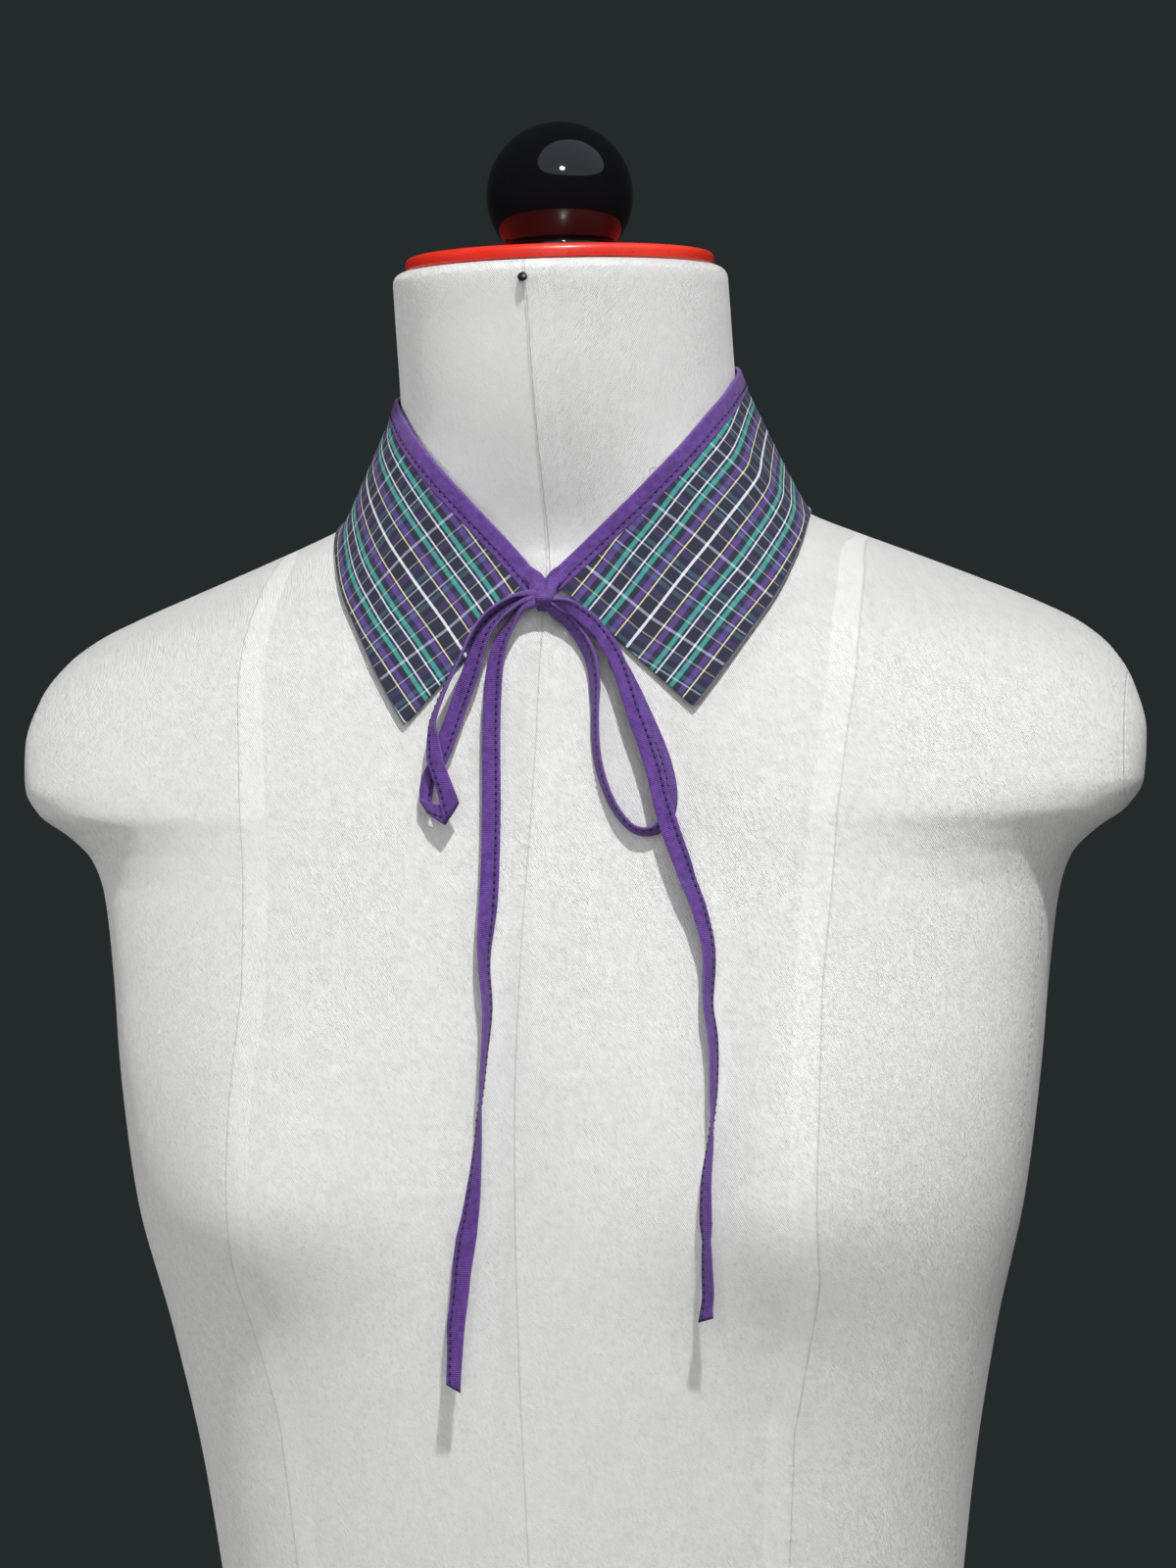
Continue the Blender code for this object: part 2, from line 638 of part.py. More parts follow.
def build_bow(home, purple):
    x, z = KNOT_X, KNOT_Z
    y = float(chest_y(np.array([x]), np.array([z]))[0]) - KNOT_OFF
    hx, hy, hz = KNOT_HALF
    rings = []
    for level, size in ((-1.0, 0.70), (-0.55, 0.97), (0.0, 1.0), (0.55, 0.97), (1.0, 0.70)):
        turn = np.linspace(0.0, 2 * math.pi, 12, endpoint=False)
        c, s = np.cos(turn), np.sin(turn)
        ring_y = np.sign(c) * np.abs(c) ** 0.7 * hy * size
        ring_z = np.sign(s) * np.abs(s) ** 0.7 * hz * size
        rings.append(np.stack([np.full(12, x + level * hx), y + ring_y, z + ring_z], axis=1))
    loft("bow_knot", rings, purple, home)

    top = z + hz + SEAT
    throat = []
    for up, half, deep in ((0.0, 2.6, 1.7), (0.8, 3.0, 1.5), (1.7, 1.9, 1.3), (2.4, 0.7, 1.1)):
        turn = np.linspace(0.0, 2 * math.pi, 10, endpoint=False)
        out = KNOT_OFF - 1.9 - up * 0.75
        mid = float(chest_y(np.array([x]), np.array([top + up]))[0]) - out
        ring = [x - 1.9 + half * np.cos(turn), mid + deep * np.sin(turn), np.full(10, top + up)]
        throat.append(np.stack(ring, axis=1))
    loft("bow_throat", throat, purple, home)

    for name, table, step in (
        ("tie_tail_right", TAIL_LEFT_HAND, TAIL_STEP),
        ("tie_tail_left", TAIL_RIGHT_HAND, TAIL_STEP),
        ("bow_loop_right", LOOP_LEFT_HAND, LOOP_STEP),
        ("bow_loop_left", LOOP_RIGHT_HAND, LOOP_STEP),
    ):
        route, _ = tie_route(table, step)
        sections = tape_sections(route, TAPE_WIDTH, TIE_WALL)
        loft(name, list(sections), purple, home)


def main():
    clear_scene()
    home = bpy.data.collections.new(NAME)
    bpy.context.scene.collection.children.link(home)
    white = material("form_cover_white", COVER_WHITE, 0.85)
    red = material("cap_red_gloss", CAP_RED, 0.25, coat=0.4)
    black = material("knob_black_gloss", KNOB_BLACK, 0.10, coat=1.0)
    pin_black = material("pin_black_gloss", PIN_BLACK, 0.25)
    check = material("collar_check", CHECK_NAVY, 0.85)
    purple = material("tape_purple", TAPE_PURPLE, 0.75)
    build_form(home, white, red, black, pin_black)
    build_collar(home, check, purple)
    build_bow(home, purple)


main()
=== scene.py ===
"""Looks of the fabric collar necklace on its dress form.

Tables and sizes are in millimetres, in the same frame as the solids.
"""
import math

import bpy
import numpy as np
from mathutils import Matrix, Vector


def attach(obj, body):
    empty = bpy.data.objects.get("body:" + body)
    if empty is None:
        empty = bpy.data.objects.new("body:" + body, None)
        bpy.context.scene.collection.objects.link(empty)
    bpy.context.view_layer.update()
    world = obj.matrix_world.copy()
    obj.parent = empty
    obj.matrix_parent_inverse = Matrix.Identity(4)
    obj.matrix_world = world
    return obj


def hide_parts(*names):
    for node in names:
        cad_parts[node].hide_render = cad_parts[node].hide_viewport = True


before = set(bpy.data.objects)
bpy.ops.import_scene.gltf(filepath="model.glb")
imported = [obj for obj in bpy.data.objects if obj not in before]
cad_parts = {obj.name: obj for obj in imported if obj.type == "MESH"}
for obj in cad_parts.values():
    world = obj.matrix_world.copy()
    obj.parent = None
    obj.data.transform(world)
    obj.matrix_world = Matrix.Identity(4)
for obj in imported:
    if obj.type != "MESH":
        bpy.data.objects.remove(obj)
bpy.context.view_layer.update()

MM = 0.001
ORIGIN_Y = 1.05           # moves everything so that the origin is under the middle

# ---------------------------------------------------------------- sizes of the form
NECK_TOP = 694.5          # top of the cover, at the middle of the neck
NECK_TILT = 0.062         # the neck plate leans forward by this slope
TILT_FROM = 668.0         # the lean fades in above this height
BUST_X = 86.0
BUST_Z = 394.0
BUST_RISE = 15.0
BUST_SPREAD = 36.0
BUST_ABOVE = 54.0
BUST_BELOW = 38.0

# One row for each measured level: the widest half, where it lies, front, back and how
# square the level is (2 is an ellipse).
FORM = (
    ("z", "half_width", "mid_y", "front_y", "back_y", "power"),
    (0, 168, 4, -104, 112, 2.25),
    (40, 166, 3, -105.5, 112, 2.25),
    (90, 154, 1, -102.5, 103, 2.25),
    (140, 137, -1, -95.5, 87, 2.2),
    (185, 124, -4, -91, 73, 2.2),
    (220, 120.5, -6, -91, 69, 2.2),
    (255, 124.5, -8, -95.5, 73, 2.25),
    (300, 130, -12, -102, 82, 2.3),
    (345, 138, -19, -106.5, 87, 2.35),
    (390, 148.5, -26, -108.5, 91, 2.35),
    (430, 154, -27, -106, 94.5, 2.35),
    (465, 157.5, -27, -99.5, 95.5, 2.3),
    (490, 161, -27, -93.5, 95.5, 2.3),
    (501, 165, -28, -90.5, 95, 2.35),
    (509, 173, -29, -88.3, 94, 2.4),
    (516, 183, -30, -86.5, 93, 2.45),
    (525, 188.5, -30, -84, 91.5, 2.45),
    (540, 189.5, -28, -80, 88, 2.4),
    (556, 185.5, -24, -75.7, 83, 2.3),
    (568, 178, -18, -72, 78, 2.2),
    (576, 168.5, -14, -68.8, 74, 2.1),
    (584, 153, -10, -65, 69.5, 2.0),
    (592, 134, -8, -61.5, 64, 1.9),
    (600, 114, -7, -60.5, 58.5, 1.85),
    (607, 96, -7, -61.8, 53.5, 1.85),
    (614, 79, -9, -64.3, 49, 1.9),
    (621, 67.5, -12, -67.3, 45, 1.95),
    (630, 60.5, -15.5, -71, 40, 2.0),
    (642, 57, -19.5, -75.7, 34.5, 2.0),
    (660, 55.9, -25, -81.3, 29, 2.0),
    (680, 55.6, -31, -86, 24, 2.0),
    (700, 55.2, -36.5, -90.5, 18.5, 2.0),
)
EDGE_ROUND = 3.5          # rounded lower rim and neck rim

CAP_RADIUS = 51.0
CAP_THICK = 4.6
CAP_ROUND = 1.9           # rounding of its upper rim
KNOB_RADIUS = 24.3
KNOB_FOOT_RADIUS = 20.6
KNOB_FOOT = 3.4           # height of the foot under the ball
KNOB_MID = 19.8           # ball's middle above the cap
KNOB_BACK = 2.0           # and behind the cap's middle
KNOB_LEVELS = 49
PIN_RADIUS = 1.6
PIN_X = 0.3
PIN_Z = 685.0
PIN_TURN = math.pi / 2 - 0.27   # it points forward and a little down
SEAT = 0.3                # clearance between neighbours

# ---------------------------------------------------------------- sizes of the collar
TAPE_WIDTH = 6.0
COLLAR_CLEAR = 1.15       # the collar's middle surface above the form, at least
COLLAR_SWELL = 0.8        # outward curve between neck and outer edge
COLLAR_BACK = 20.0        # the middle of the neck lies this far behind the frame's middle

# The neck edge: turn round the neck from the front in degrees, height on the wearer's
# left (+X) and right (-X), and how far the cloth's middle stands off the neck.
NECK_EDGE = (
    ("turn", "z_left", "z_right", "off"),
    (0.9, 591.0, 591.0, 2.6),
    (12.4, 601.5, 603.9, 2.1),
    (21.0, 609.7, 613.5, 1.7),
    (30.3, 618.0, 622.7, 1.4),
    (39.8, 626.4, 631.3, 1.3),
    (50.5, 635.3, 639.8, 1.3),
    (63.3, 645.0, 648.6, 1.2),
    (73.8, 651.2, 652.6, 1.1),
    (84.5, 656.8, 655.0, 1.1),
    (110.0, 663.8, 659.6, 1.2),
    (140.0, 666.6, 664.4, 1.4),
    (180.0, 667.5, 667.5, 1.5),
)
# The outer edge from the front point to the centre back, on the wearer's left (+X) and
# right (-X). The worn collar has slipped a little to its left.
PLACE = ("x", "y", "z")
OUTER_EDGE_LEFT = (
    PLACE,
    (52.0, -79.0, 549.0),
    (56.3, -77.0, 554.8),
    (62.4, -73.6, 563.5),
    (69.5, -68.0, 574.4),
    (74.8, -61.2, 583.4),
    (79.0, -51.5, 594.2),
    (81.4, -41.5, 603.8),
    (81.3, -29.0, 610.8),
    (79.0, -12.0, 614.6),
    (72.0, 7.5, 617.4),
    (59.5, 24.5, 619.4),
    (41.5, 38.0, 619.8),
    (21.0, 46.0, 619.4),
    (0.0, 48.6, 619.0),
)
OUTER_EDGE_RIGHT = (
    PLACE,
    (-42.4, -80.6, 544.4),
    (-48.7, -77.7, 554.0),
    (-56.1, -73.1, 566.4),
    (-62.7, -67.0, 577.6),
    (-67.6, -61.3, 585.6),
    (-72.2, -53.0, 595.0),
    (-75.6, -43.5, 603.8),
    (-77.4, -30.0, 610.2),
    (-76.6, -12.0, 614.6),
    (-70.5, 7.5, 617.6),
    (-58.5, 24.5, 619.4),
    (-41.0, 38.0, 619.8),
    (-21.0, 46.0, 619.4),
    (0.0, 48.6, 619.0),
)

# ---------------------------------------------------------------- knot and ties
KNOT_X = 2.8
KNOT_Z = 584.4
KNOT_OFF = 7.0            # its middle in front of the chest
KNOT_ENTRY = 0.55         # the ties run on this share of the way to its middle

# Routes: x and z across the front, off the chest, and the turn of the tape about its own
# length: 0 lies flat on the chest, 90 stands on edge. Left hand and right hand are sides
# as seen from the front.
ROUTE = ("x", "z", "off", "turn")
TAIL_LEFT_HAND = (
    ROUTE,
    (-1.7, 582.8, 6.6, -84),
    (-4.8, 581.5, 6.4, -76),
    (-7.3, 578.8, 5.6, -56),
    (-9.2, 575.5, 5.2, -44),
    (-11.0, 571.5, 4.9, -33),
    (-12.4, 565.2, 4.7, -20),
    (-12.9, 556.6, 4.6, -8),
    (-12.6, 540.9, 4.6, 0),
    (-11.7, 525.3, 4.6, 3),
    (-10.9, 509.9, 4.7, 5),
    (-10.5, 496.1, 4.9, 8),
    (-10.6, 485.4, 4.9, 28),
    (-11.1, 474.8, 4.7, 58),
    (-10.8, 467.2, 4.5, 70),
    (-9.5, 456.6, 4.3, 75),
    (-9.4, 449.1, 4.4, 81),
    (-9.8, 440.1, 4.5, 90),
    (-10.4, 429.6, 4.8, 97),
    (-10.8, 422.1, 5.1, 112),
    (-11.1, 413.1, 5.4, 123),
    (-11.9, 404.1, 5.4, 139),
    (-13.0, 395.1, 5.2, 158),
    (-14.2, 388.2, 5.0, 172),
    (-15.2, 380.0, 7.0, 190),
    (-16.1, 373.3, 7.4, 202),
    (-17.6, 360.0, 8.2, 222),
    (-18.5, 348.4, 8.8, 232),
    (-19.2, 338.0, 9.2, 236),
)
TAIL_RIGHT_HAND = (
    ROUTE,
    (7.8, 585.2, 7.8, 91),
    (10.4, 584.4, 9.0, 96),
    (14.4, 581.1, 11.2, 120),
    (18.6, 576.1, 10.8, 141),
    (22.6, 570.2, 9.4, 150),
    (26.3, 563.3, 8.0, 160),
    (29.8, 555.6, 7.4, 170),
    (35.1, 543.1, 6.8, 177),
    (39.6, 530.8, 7.0, 180),
    (44.3, 518.5, 7.6, 182),
    (48.6, 506.4, 7.6, 192),
    (51.0, 500.4, 7.2, 210),
    (53.2, 494.3, 6.6, 225),
    (55.8, 488.2, 6.0, 230),
    (57.7, 482.2, 5.6, 233),
    (59.4, 476.2, 5.2, 239),
    (60.2, 470.2, 5.0, 243),
    (60.2, 462.7, 4.8, 247),
    (60.4, 456.2, 4.6, 254),
    (61.8, 449.4, 4.6, 254),
    (62.9, 440.7, 4.6, 257),
    (63.2, 431.9, 4.6, 262),
    (63.1, 423.7, 4.6, 274),
    (62.6, 414.3, 4.6, 294),
    (61.7, 405.5, 4.8, 306),
    (61.4, 396.7, 4.9, 315),
    (61.5, 386.3, 5.3, 319),
    (61.4, 375.7, 6.2, 325),
    (60.8, 366.6, 7.6, 332),
    (60.3, 361.4, 8.6, 338),
)
LOOP_LEFT_HAND = (
    ROUTE,
    (-1.7, 586.2, 7.4, 86),
    (-5.8, 585.5, 7.8, 84),
    (-10.2, 583.3, 9.2, 80),
    (-15.1, 579.6, 10.4, 84),
    (-19.7, 572.9, 10.8, 94),
    (-23.4, 564.4, 10.8, 105),
    (-26.7, 557.0, 10.6, 110),
    (-29.2, 550.4, 10.4, 114),
    (-30.8, 544.2, 10.2, 122),
    (-30.5, 538.9, 10.0, 137),
    (-29.2, 533.6, 9.6, 150),
    (-26.8, 528.3, 9.2, 152),
    (-24.6, 523.6, 8.6, 147),
    (-23.8, 519.3, 7.8, 143),
    (-26.0, 515.9, 7.0, 142),
    (-29.3, 516.5, 6.4, 142),
    (-31.3, 520.2, 5.6, 142),
    (-32.1, 524.9, 4.6, 147),
    (-31.6, 528.9, 4.0, 158),
    (-30.8, 532.7, 3.8, 170),
    (-28.9, 538.0, 4.0, 178),
    (-26.3, 544.2, 4.4, 182),
    (-23.8, 550.7, 5.2, 184),
    (-21.5, 556.7, 6.2, 186),
    (-19.1, 564.5, 7.2, 192),
    (-16.9, 572.3, 8.2, 204),
    (-13.4, 578.0, 8.4, 222),
    (-8.5, 582.0, 7.8, 246),
    (-5.2, 583.6, 7.2, 262),
    (-1.7, 584.5, 7.0, 266),
)
LOOP_RIGHT_HAND = (
    ROUTE,
    (7.3, 581.4, 6.6, 94),
    (9.6, 579.3, 6.4, 106),
    (12.8, 574.7, 5.2, 122),
    (16.6, 569.3, 4.8, 128),
    (19.2, 562.3, 4.4, 125),
    (20.3, 555.1, 3.9, 123),
    (20.6, 547.3, 3.6, 122),
    (21.0, 539.8, 3.5, 123),
    (21.9, 533.6, 3.4, 123),
    (24.6, 524.9, 3.5, 122),
    (27.9, 518.2, 3.5, 120),
    (32.0, 512.9, 3.5, 118),
    (36.0, 510.2, 3.5, 116),
    (39.9, 510.0, 3.5, 114),
    (43.6, 511.9, 3.5, 114),
    (45.6, 515.5, 3.5, 116),
    (46.1, 520.1, 3.5, 118),
    (45.3, 525.7, 3.5, 120),
    (43.5, 531.8, 3.5, 121),
    (40.7, 538.6, 3.5, 121),
    (36.9, 546.4, 3.5, 121),
    (32.7, 554.3, 3.6, 126),
    (28.2, 561.5, 3.8, 140),
    (22.4, 570.0, 4.3, 156),
    (16.8, 576.4, 5.2, 162),
    (10.4, 581.7, 6.1, 98),
    (7.5, 583.0, 5.8, 90),
)

# ---------------------------------------------------------------- tables and curves
def column(table, name):
    place = table[0].index(name)
    return np.array([row[place] for row in table[1:]], dtype=float)


def columns(table, *names):
    return np.stack([column(table, name) for name in names], axis=1)


def unit(v):
    return v / np.maximum(np.linalg.norm(v, axis=-1, keepdims=True), 1e-9)


def run_along(line):
    """The length of a line of points up to each of them."""
    return np.r_[0.0, np.cumsum(np.linalg.norm(np.diff(line, axis=0), axis=1))]


def monotone(knots, values, at):
    """Cubic through the knots that never swings past them."""
    gap = np.diff(knots)
    slope = np.diff(values) / gap
    tangent = np.zeros_like(values)
    tangent[0], tangent[-1] = slope[0], slope[-1]
    for i in range(1, len(values) - 1):
        if slope[i - 1] * slope[i] > 0:
            one = 2 * gap[i] + gap[i - 1]
            two = gap[i] + 2 * gap[i - 1]
            tangent[i] = (one + two) / (one / slope[i - 1] + two / slope[i])
    at = np.clip(np.asarray(at, dtype=float), knots[0], knots[-1])
    k = np.clip(np.searchsorted(knots, at) - 1, 0, len(gap) - 1)
    t = (at - knots[k]) / gap[k]
    first = (1 + 2 * t) * (1 - t) ** 2 * values[k] + t * (1 - t) ** 2 * gap[k] * tangent[k]
    last = t * t * (3 - 2 * t) * values[k + 1] + t * t * (t - 1) * gap[k] * tangent[k + 1]
    return first + last


CURVE_SPOTS = 1200        # places at which a smooth curve is measured


def smooth_curve(points, count):
    """Points evenly spaced along a smooth curve through the given ones."""
    points = np.asarray(points, dtype=float)
    chord = run_along(points[:, :3])
    n = len(points)
    gap = np.diff(chord)
    matrix = np.zeros((n, n))
    right = np.zeros_like(points)
    matrix[0, 0] = matrix[-1, -1] = 1.0
    for i in range(1, n - 1):
        matrix[i, i - 1], matrix[i, i + 1] = gap[i - 1], gap[i]
        matrix[i, i] = 2 * (gap[i - 1] + gap[i])
        rise = (points[i + 1] - points[i]) / gap[i] - (points[i] - points[i - 1]) / gap[i - 1]
        right[i] = 6 * rise
    bend = np.linalg.solve(matrix, right)

    def at(s):
        k = np.clip(np.searchsorted(chord, s) - 1, 0, n - 2)
        h = gap[k][:, None]
        a = (chord[k + 1] - s)[:, None]
        b = (s - chord[k])[:, None]
        line = (points[k] / h - bend[k] * h / 6) * a + (points[k + 1] / h - bend[k + 1] * h / 6) * b
        return line + (bend[k] * a ** 3 + bend[k + 1] * b ** 3) / (6 * h)

    spots = np.linspace(0.0, chord[-1], CURVE_SPOTS)
    run = run_along(at(spots)[:, :3])
    even = np.interp(np.linspace(0.0, run[-1], count), run, spots)
    return at(even), run[-1]


# ---------------------------------------------------------------- the form's surface
def form_level(z):
    """Half width, middle, front, back and power of the body at a height."""
    return [monotone(column(FORM, "z"), column(FORM, name), z) for name in FORM[0][1:]]


def bust_rise(x, z):
    spread = np.where(z > BUST_Z, BUST_ABOVE, BUST_BELOW)
    across = ((np.abs(x) - BUST_X) / BUST_SPREAD) ** 2
    return BUST_RISE * np.exp(-across - ((z - BUST_Z) / spread) ** 2)


def form_ring(z, count, inset=0.0):
    """One level of the body, run round from its left side."""
    half, mid, front, back, power = [float(v) for v in form_level(z)]
    half, front, back = half - inset, front + inset, back - inset
    turn = np.linspace(0.0, 2 * math.pi, count, endpoint=False)
    c, s = np.cos(turn), np.sin(turn)
    x = half * np.sign(c) * np.abs(c) ** (2 / power)
    deep = np.sign(s) * np.abs(s) ** (2 / power)
    y = np.where(s < 0, mid + (mid - front) * deep, mid + (back - mid) * deep)
    fade = np.clip(-deep / 0.35, 0.0, 1.0)
    y = y - bust_rise(x, z) * fade * fade * (3 - 2 * fade)
    lean = np.clip((z - TILT_FROM) / (NECK_TOP - TILT_FROM), 0.0, 1.0)
    tall = z + NECK_TILT * (y - mid) * lean * lean * (3 - 2 * lean)
    return np.stack([x, y, tall], axis=1)


def outside(points):
    """How far points lie outside the body, measured level."""
    x, y, z = points[:, 0], points[:, 1], points[:, 2]
    half, mid, front, back, power = form_level(z)
    y = y + bust_rise(x, z) * (y < mid)
    deep = np.where(y < mid, mid - front, back - mid)
    reach = np.hypot(x, y - mid)
    reach = np.maximum(reach, 1e-6)
    sx, sy = np.abs(x) / reach, np.abs(y - mid) / reach
    return reach - ((sx / half) ** power + (sy / deep) ** power) ** (-1 / power)


CLEARING_ROUNDS = 3


def clear_of_form(points, least):
    """Move points out along the body's surface normal until they clear it."""
    points = np.array(points, dtype=float)
    for _ in range(CLEARING_ROUNDS):
        grad = np.zeros_like(points)
        for axis in range(3):
            step = np.zeros(3)
            step[axis] = 0.5
            grad[:, axis] = outside(points + step) - outside(points - step)
        size = np.linalg.norm(grad, axis=1)
        away = outside(points) / size
        soft = 0.5 * (away + least + np.sqrt((away - least) ** 2 + 0.35))
        points = points + grad / size[:, None] * (soft - away)[:, None]
    return points


def chest_y(x, z):
    """The front of the body at a place across and a height."""
    half, mid, front, _, power = form_level(z)
    deep = (1 - np.minimum(np.abs(x) / half, 0.999) ** power) ** (1 / power)
    return mid - (mid - front) * deep - bust_rise(x, z)


# ---------------------------------------------------------------- the collar's surface
def neck_edge(side, count):
    turn = np.radians(column(NECK_EDGE, "turn"))
    fine = np.linspace(turn[0], turn[-1], 60)
    heights = column(NECK_EDGE, "z_left" if side > 0 else "z_right")
    z = monotone(turn, heights, fine)
    off = monotone(turn, column(NECK_EDGE, "off"), fine)
    half, mid, front, back, power = form_level(z)
    deep = np.where(fine < math.pi / 2, mid - front, back - mid)
    sx, sy = np.sin(fine), np.cos(fine)
    reach = (np.abs(sx / half) ** power + np.abs(sy / deep) ** power) ** (-1 / power) + off
    return smooth_curve(np.stack([side * reach * sx, mid - reach * sy, z], axis=1), count)


def outer_edge(side, count):
    table = OUTER_EDGE_LEFT if side > 0 else OUTER_EDGE_RIGHT
    return smooth_curve(columns(table, *PLACE), count)


def both_sides(edge, count):
    """Join the two halves: from the +X front point round the back to the other one."""
    half = count // 2 + 1
    first, _ = edge(1, half)
    second, _ = edge(-1, half)
    return np.concatenate([first, second[-2::-1]])


# ---------------------------------------------------------------- ties
TIE_FINE = 1.3            # spacing of the drawn sections along a tie


def on_chest(x, z, off):
    return np.stack([x, chest_y(x, z) - off, z], axis=1)


def tie_route(table):
    line = on_chest(column(table, "x"), column(table, "z"), column(table, "off"))
    points = np.hstack([line, columns(table, "turn")])
    _, length = smooth_curve(points, 2)
    return smooth_curve(points, int(round(length / TIE_FINE)) + 1)[0]


# ---------------------------------------------------------------- camera first
AIM = (0.0, ORIGIN_Y, 525.0)
AWAY = 1200.0
AZIMUTH = math.radians(12.5)
ROLL = math.radians(-0.6)


def add_camera():
    data = bpy.data.cameras.new("camera")
    data.lens = 81.0
    data.sensor_width = 36.0
    data.clip_start = 0.05
    data.clip_end = 50.0
    made = bpy.data.objects.new("camera", data)
    bpy.context.scene.collection.objects.link(made)
    back = Vector((math.sin(AZIMUTH), -math.cos(AZIMUTH), 0.0))
    right = Vector((math.cos(AZIMUTH), math.sin(AZIMUTH), 0.0))
    up = Vector((0.0, 0.0, 1.0))
    turned_right = right * math.cos(ROLL) + up * math.sin(ROLL)
    turned_up = up * math.cos(ROLL) - right * math.sin(ROLL)
    place = (Vector(AIM) + back * AWAY) * MM
    turn = Matrix((turned_right, turned_up, back)).transposed().to_4x4()
    made.matrix_world = Matrix.Translation(place) @ turn
    bpy.context.scene.camera = made


add_camera()


# ---------------------------------------------------------------- making pieces
def put(name, points, faces, look, layers=None, domain="POINT"):
    """A mesh piece from points in millimetres, with named numbers on points or corners."""
    world = (np.asarray(points, dtype=float) + np.array([0.0, ORIGIN_Y, 0.0])) * MM
    mesh = bpy.data.meshes.new(name)
    mesh.from_pydata(world.tolist(), [], [list(f) for f in faces])
    mesh.materials.append(look)
    for key, values in (layers or {}).items():
        layer = mesh.attributes.new(key, "FLOAT", domain)
        layer.data.foreach_set("value", np.asarray(values, dtype=np.float32).ravel())
    mesh.polygons.foreach_set("use_smooth", [True] * len(mesh.polygons))
    made = bpy.data.objects.new(name, mesh)
    bpy.context.scene.collection.objects.link(made)
    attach(made, "root")
    return made


def ring_faces(levels, count, close_start=True, close_end=True):
    faces = []
    if close_start:
        faces.append(tuple(range(count))[::-1])
    for level in range(levels - 1):
        low, high = level * count, (level + 1) * count
        for i in range(count):
            j = (i + 1) % count
            faces.append((low + i, low + j, high + j, high + i))
    if close_end:
        top = (levels - 1) * count
        faces.append(tuple(top + i for i in range(count)))
    return faces


# ---------------------------------------------------------------- materials
def lin(r, g, b):
    """A colour as seen on a screen, 0 to 255, as the light it stands for."""
    out = []
    for v in (r, g, b):
        v = v / 255.0
        out.append(v / 12.92 if v <= 0.04045 else ((v + 0.055) / 1.055) ** 2.4)
    return (out[0], out[1], out[2], 1.0)


class Look:
    """A node material with short calls for its wiring."""

    def __init__(self, name, roughness=0.9, coat=0.0, coat_rough=0.05, sheen=0.0, specular=0.5):
        self.mat = bpy.data.materials.new(name)
        self.mat.use_nodes = True
        self.tree = self.mat.node_tree
        self.shader = self.tree.nodes["Principled BSDF"]
        for key, value in (
            ("Roughness", roughness),
            ("Coat Weight", coat),
            ("Coat Roughness", coat_rough),
            ("Sheen Weight", sheen),
            ("Specular IOR Level", specular),
        ):
            self.shader.inputs[key].default_value = value

    def add(self, kind, **settings):
        made = self.tree.nodes.new(kind)
        for key, value in settings.items():
            setattr(made, key, value)
        return made

    def feed(self, socket, value):
        if isinstance(value, bpy.types.NodeSocket):
            self.tree.links.new(value, socket)
        else:
            socket.default_value = value

    def math(self, operation, a, b=0.0, c=0.0):
        made = self.add("ShaderNodeMath", operation=operation)
        for socket, value in zip(made.inputs, (a, b, c)):
            self.feed(socket, value)
        return made.outputs[0]

    def times(self, a, b):
        return self.math("MULTIPLY", a, b)

    def total(self, *terms):
        """The sum of values, each times its share."""
        made = self.times(*terms[0])
        for term in terms[1:]:
            made = self.math("ADD", made, self.times(*term))
        return made

    def wave(self, value, pitch):
        """A wave between -1 and 1 that repeats once in every pitch."""
        return self.math("SINE", self.times(value, 2 * math.pi / pitch))

    def layered(self, colour, *coats):
        """A colour with others laid over it, each by its amount."""
        for amount, coat in coats:
            colour = self.mix(amount, colour, coat)
        return colour

    def number(self, name):
        return self.add("ShaderNodeAttribute", attribute_name=name).outputs["Fac"]

    def place(self):
        return self.add("ShaderNodeTexCoord").outputs["Object"]

    def join(self, x, y, z=0.0):
        made = self.add("ShaderNodeCombineXYZ")
        for socket, value in zip(made.inputs, (x, y, z)):
            self.feed(socket, value)
        return made.outputs[0]

    def noise(self, at, scale, detail=2.0, rough=0.5):
        made = self.add("ShaderNodeTexNoise")
        self.feed(made.inputs["Vector"], at)
        made.inputs["Scale"].default_value = scale
        made.inputs["Detail"].default_value = detail
        made.inputs["Roughness"].default_value = rough
        return made.outputs["Fac"]

    def remap(self, value, a, b, c=0.0, d=1.0, kind="SMOOTHSTEP"):
        made = self.add("ShaderNodeMapRange", interpolation_type=kind)
        for socket, number in zip(made.inputs, (value, a, b, c, d)):
            self.feed(socket, number)
        return made.outputs[0]

    def ramp(self, value, stops):
        """Bands of colour with hard edges."""
        made = self.add("ShaderNodeValToRGB")
        band = made.color_ramp
        band.interpolation = "CONSTANT"
        while len(band.elements) < len(stops):
            band.elements.new(0.5)
        for element, (at, colour) in zip(band.elements, stops):
            element.position = at
            element.color = colour
        self.feed(made.inputs[0], value)
        return made.outputs[0]

    def mix(self, amount, a, b):
        made = self.add("ShaderNodeMix", data_type="RGBA")
        self.feed(made.inputs[0], amount)
        self.feed(made.inputs[6], a)
        self.feed(made.inputs[7], b)
        return made.outputs[2]

    def colour(self, value):
        self.feed(self.shader.inputs["Base Color"], value)

    def rough(self, value):
        self.feed(self.shader.inputs["Roughness"], value)

    def bump(self, height, distance):
        made = self.add("ShaderNodeBump")
        made.inputs["Strength"].default_value = 1.0
        made.inputs["Distance"].default_value = distance
        self.feed(made.inputs["Height"], height)
        self.feed(self.shader.inputs["Normal"], made.outputs[0])


TWILL_PITCH = 0.64        # from one wale of the twill to the next
SEAM_PUCKER = 3.1         # from one pucker beside a seam to the next


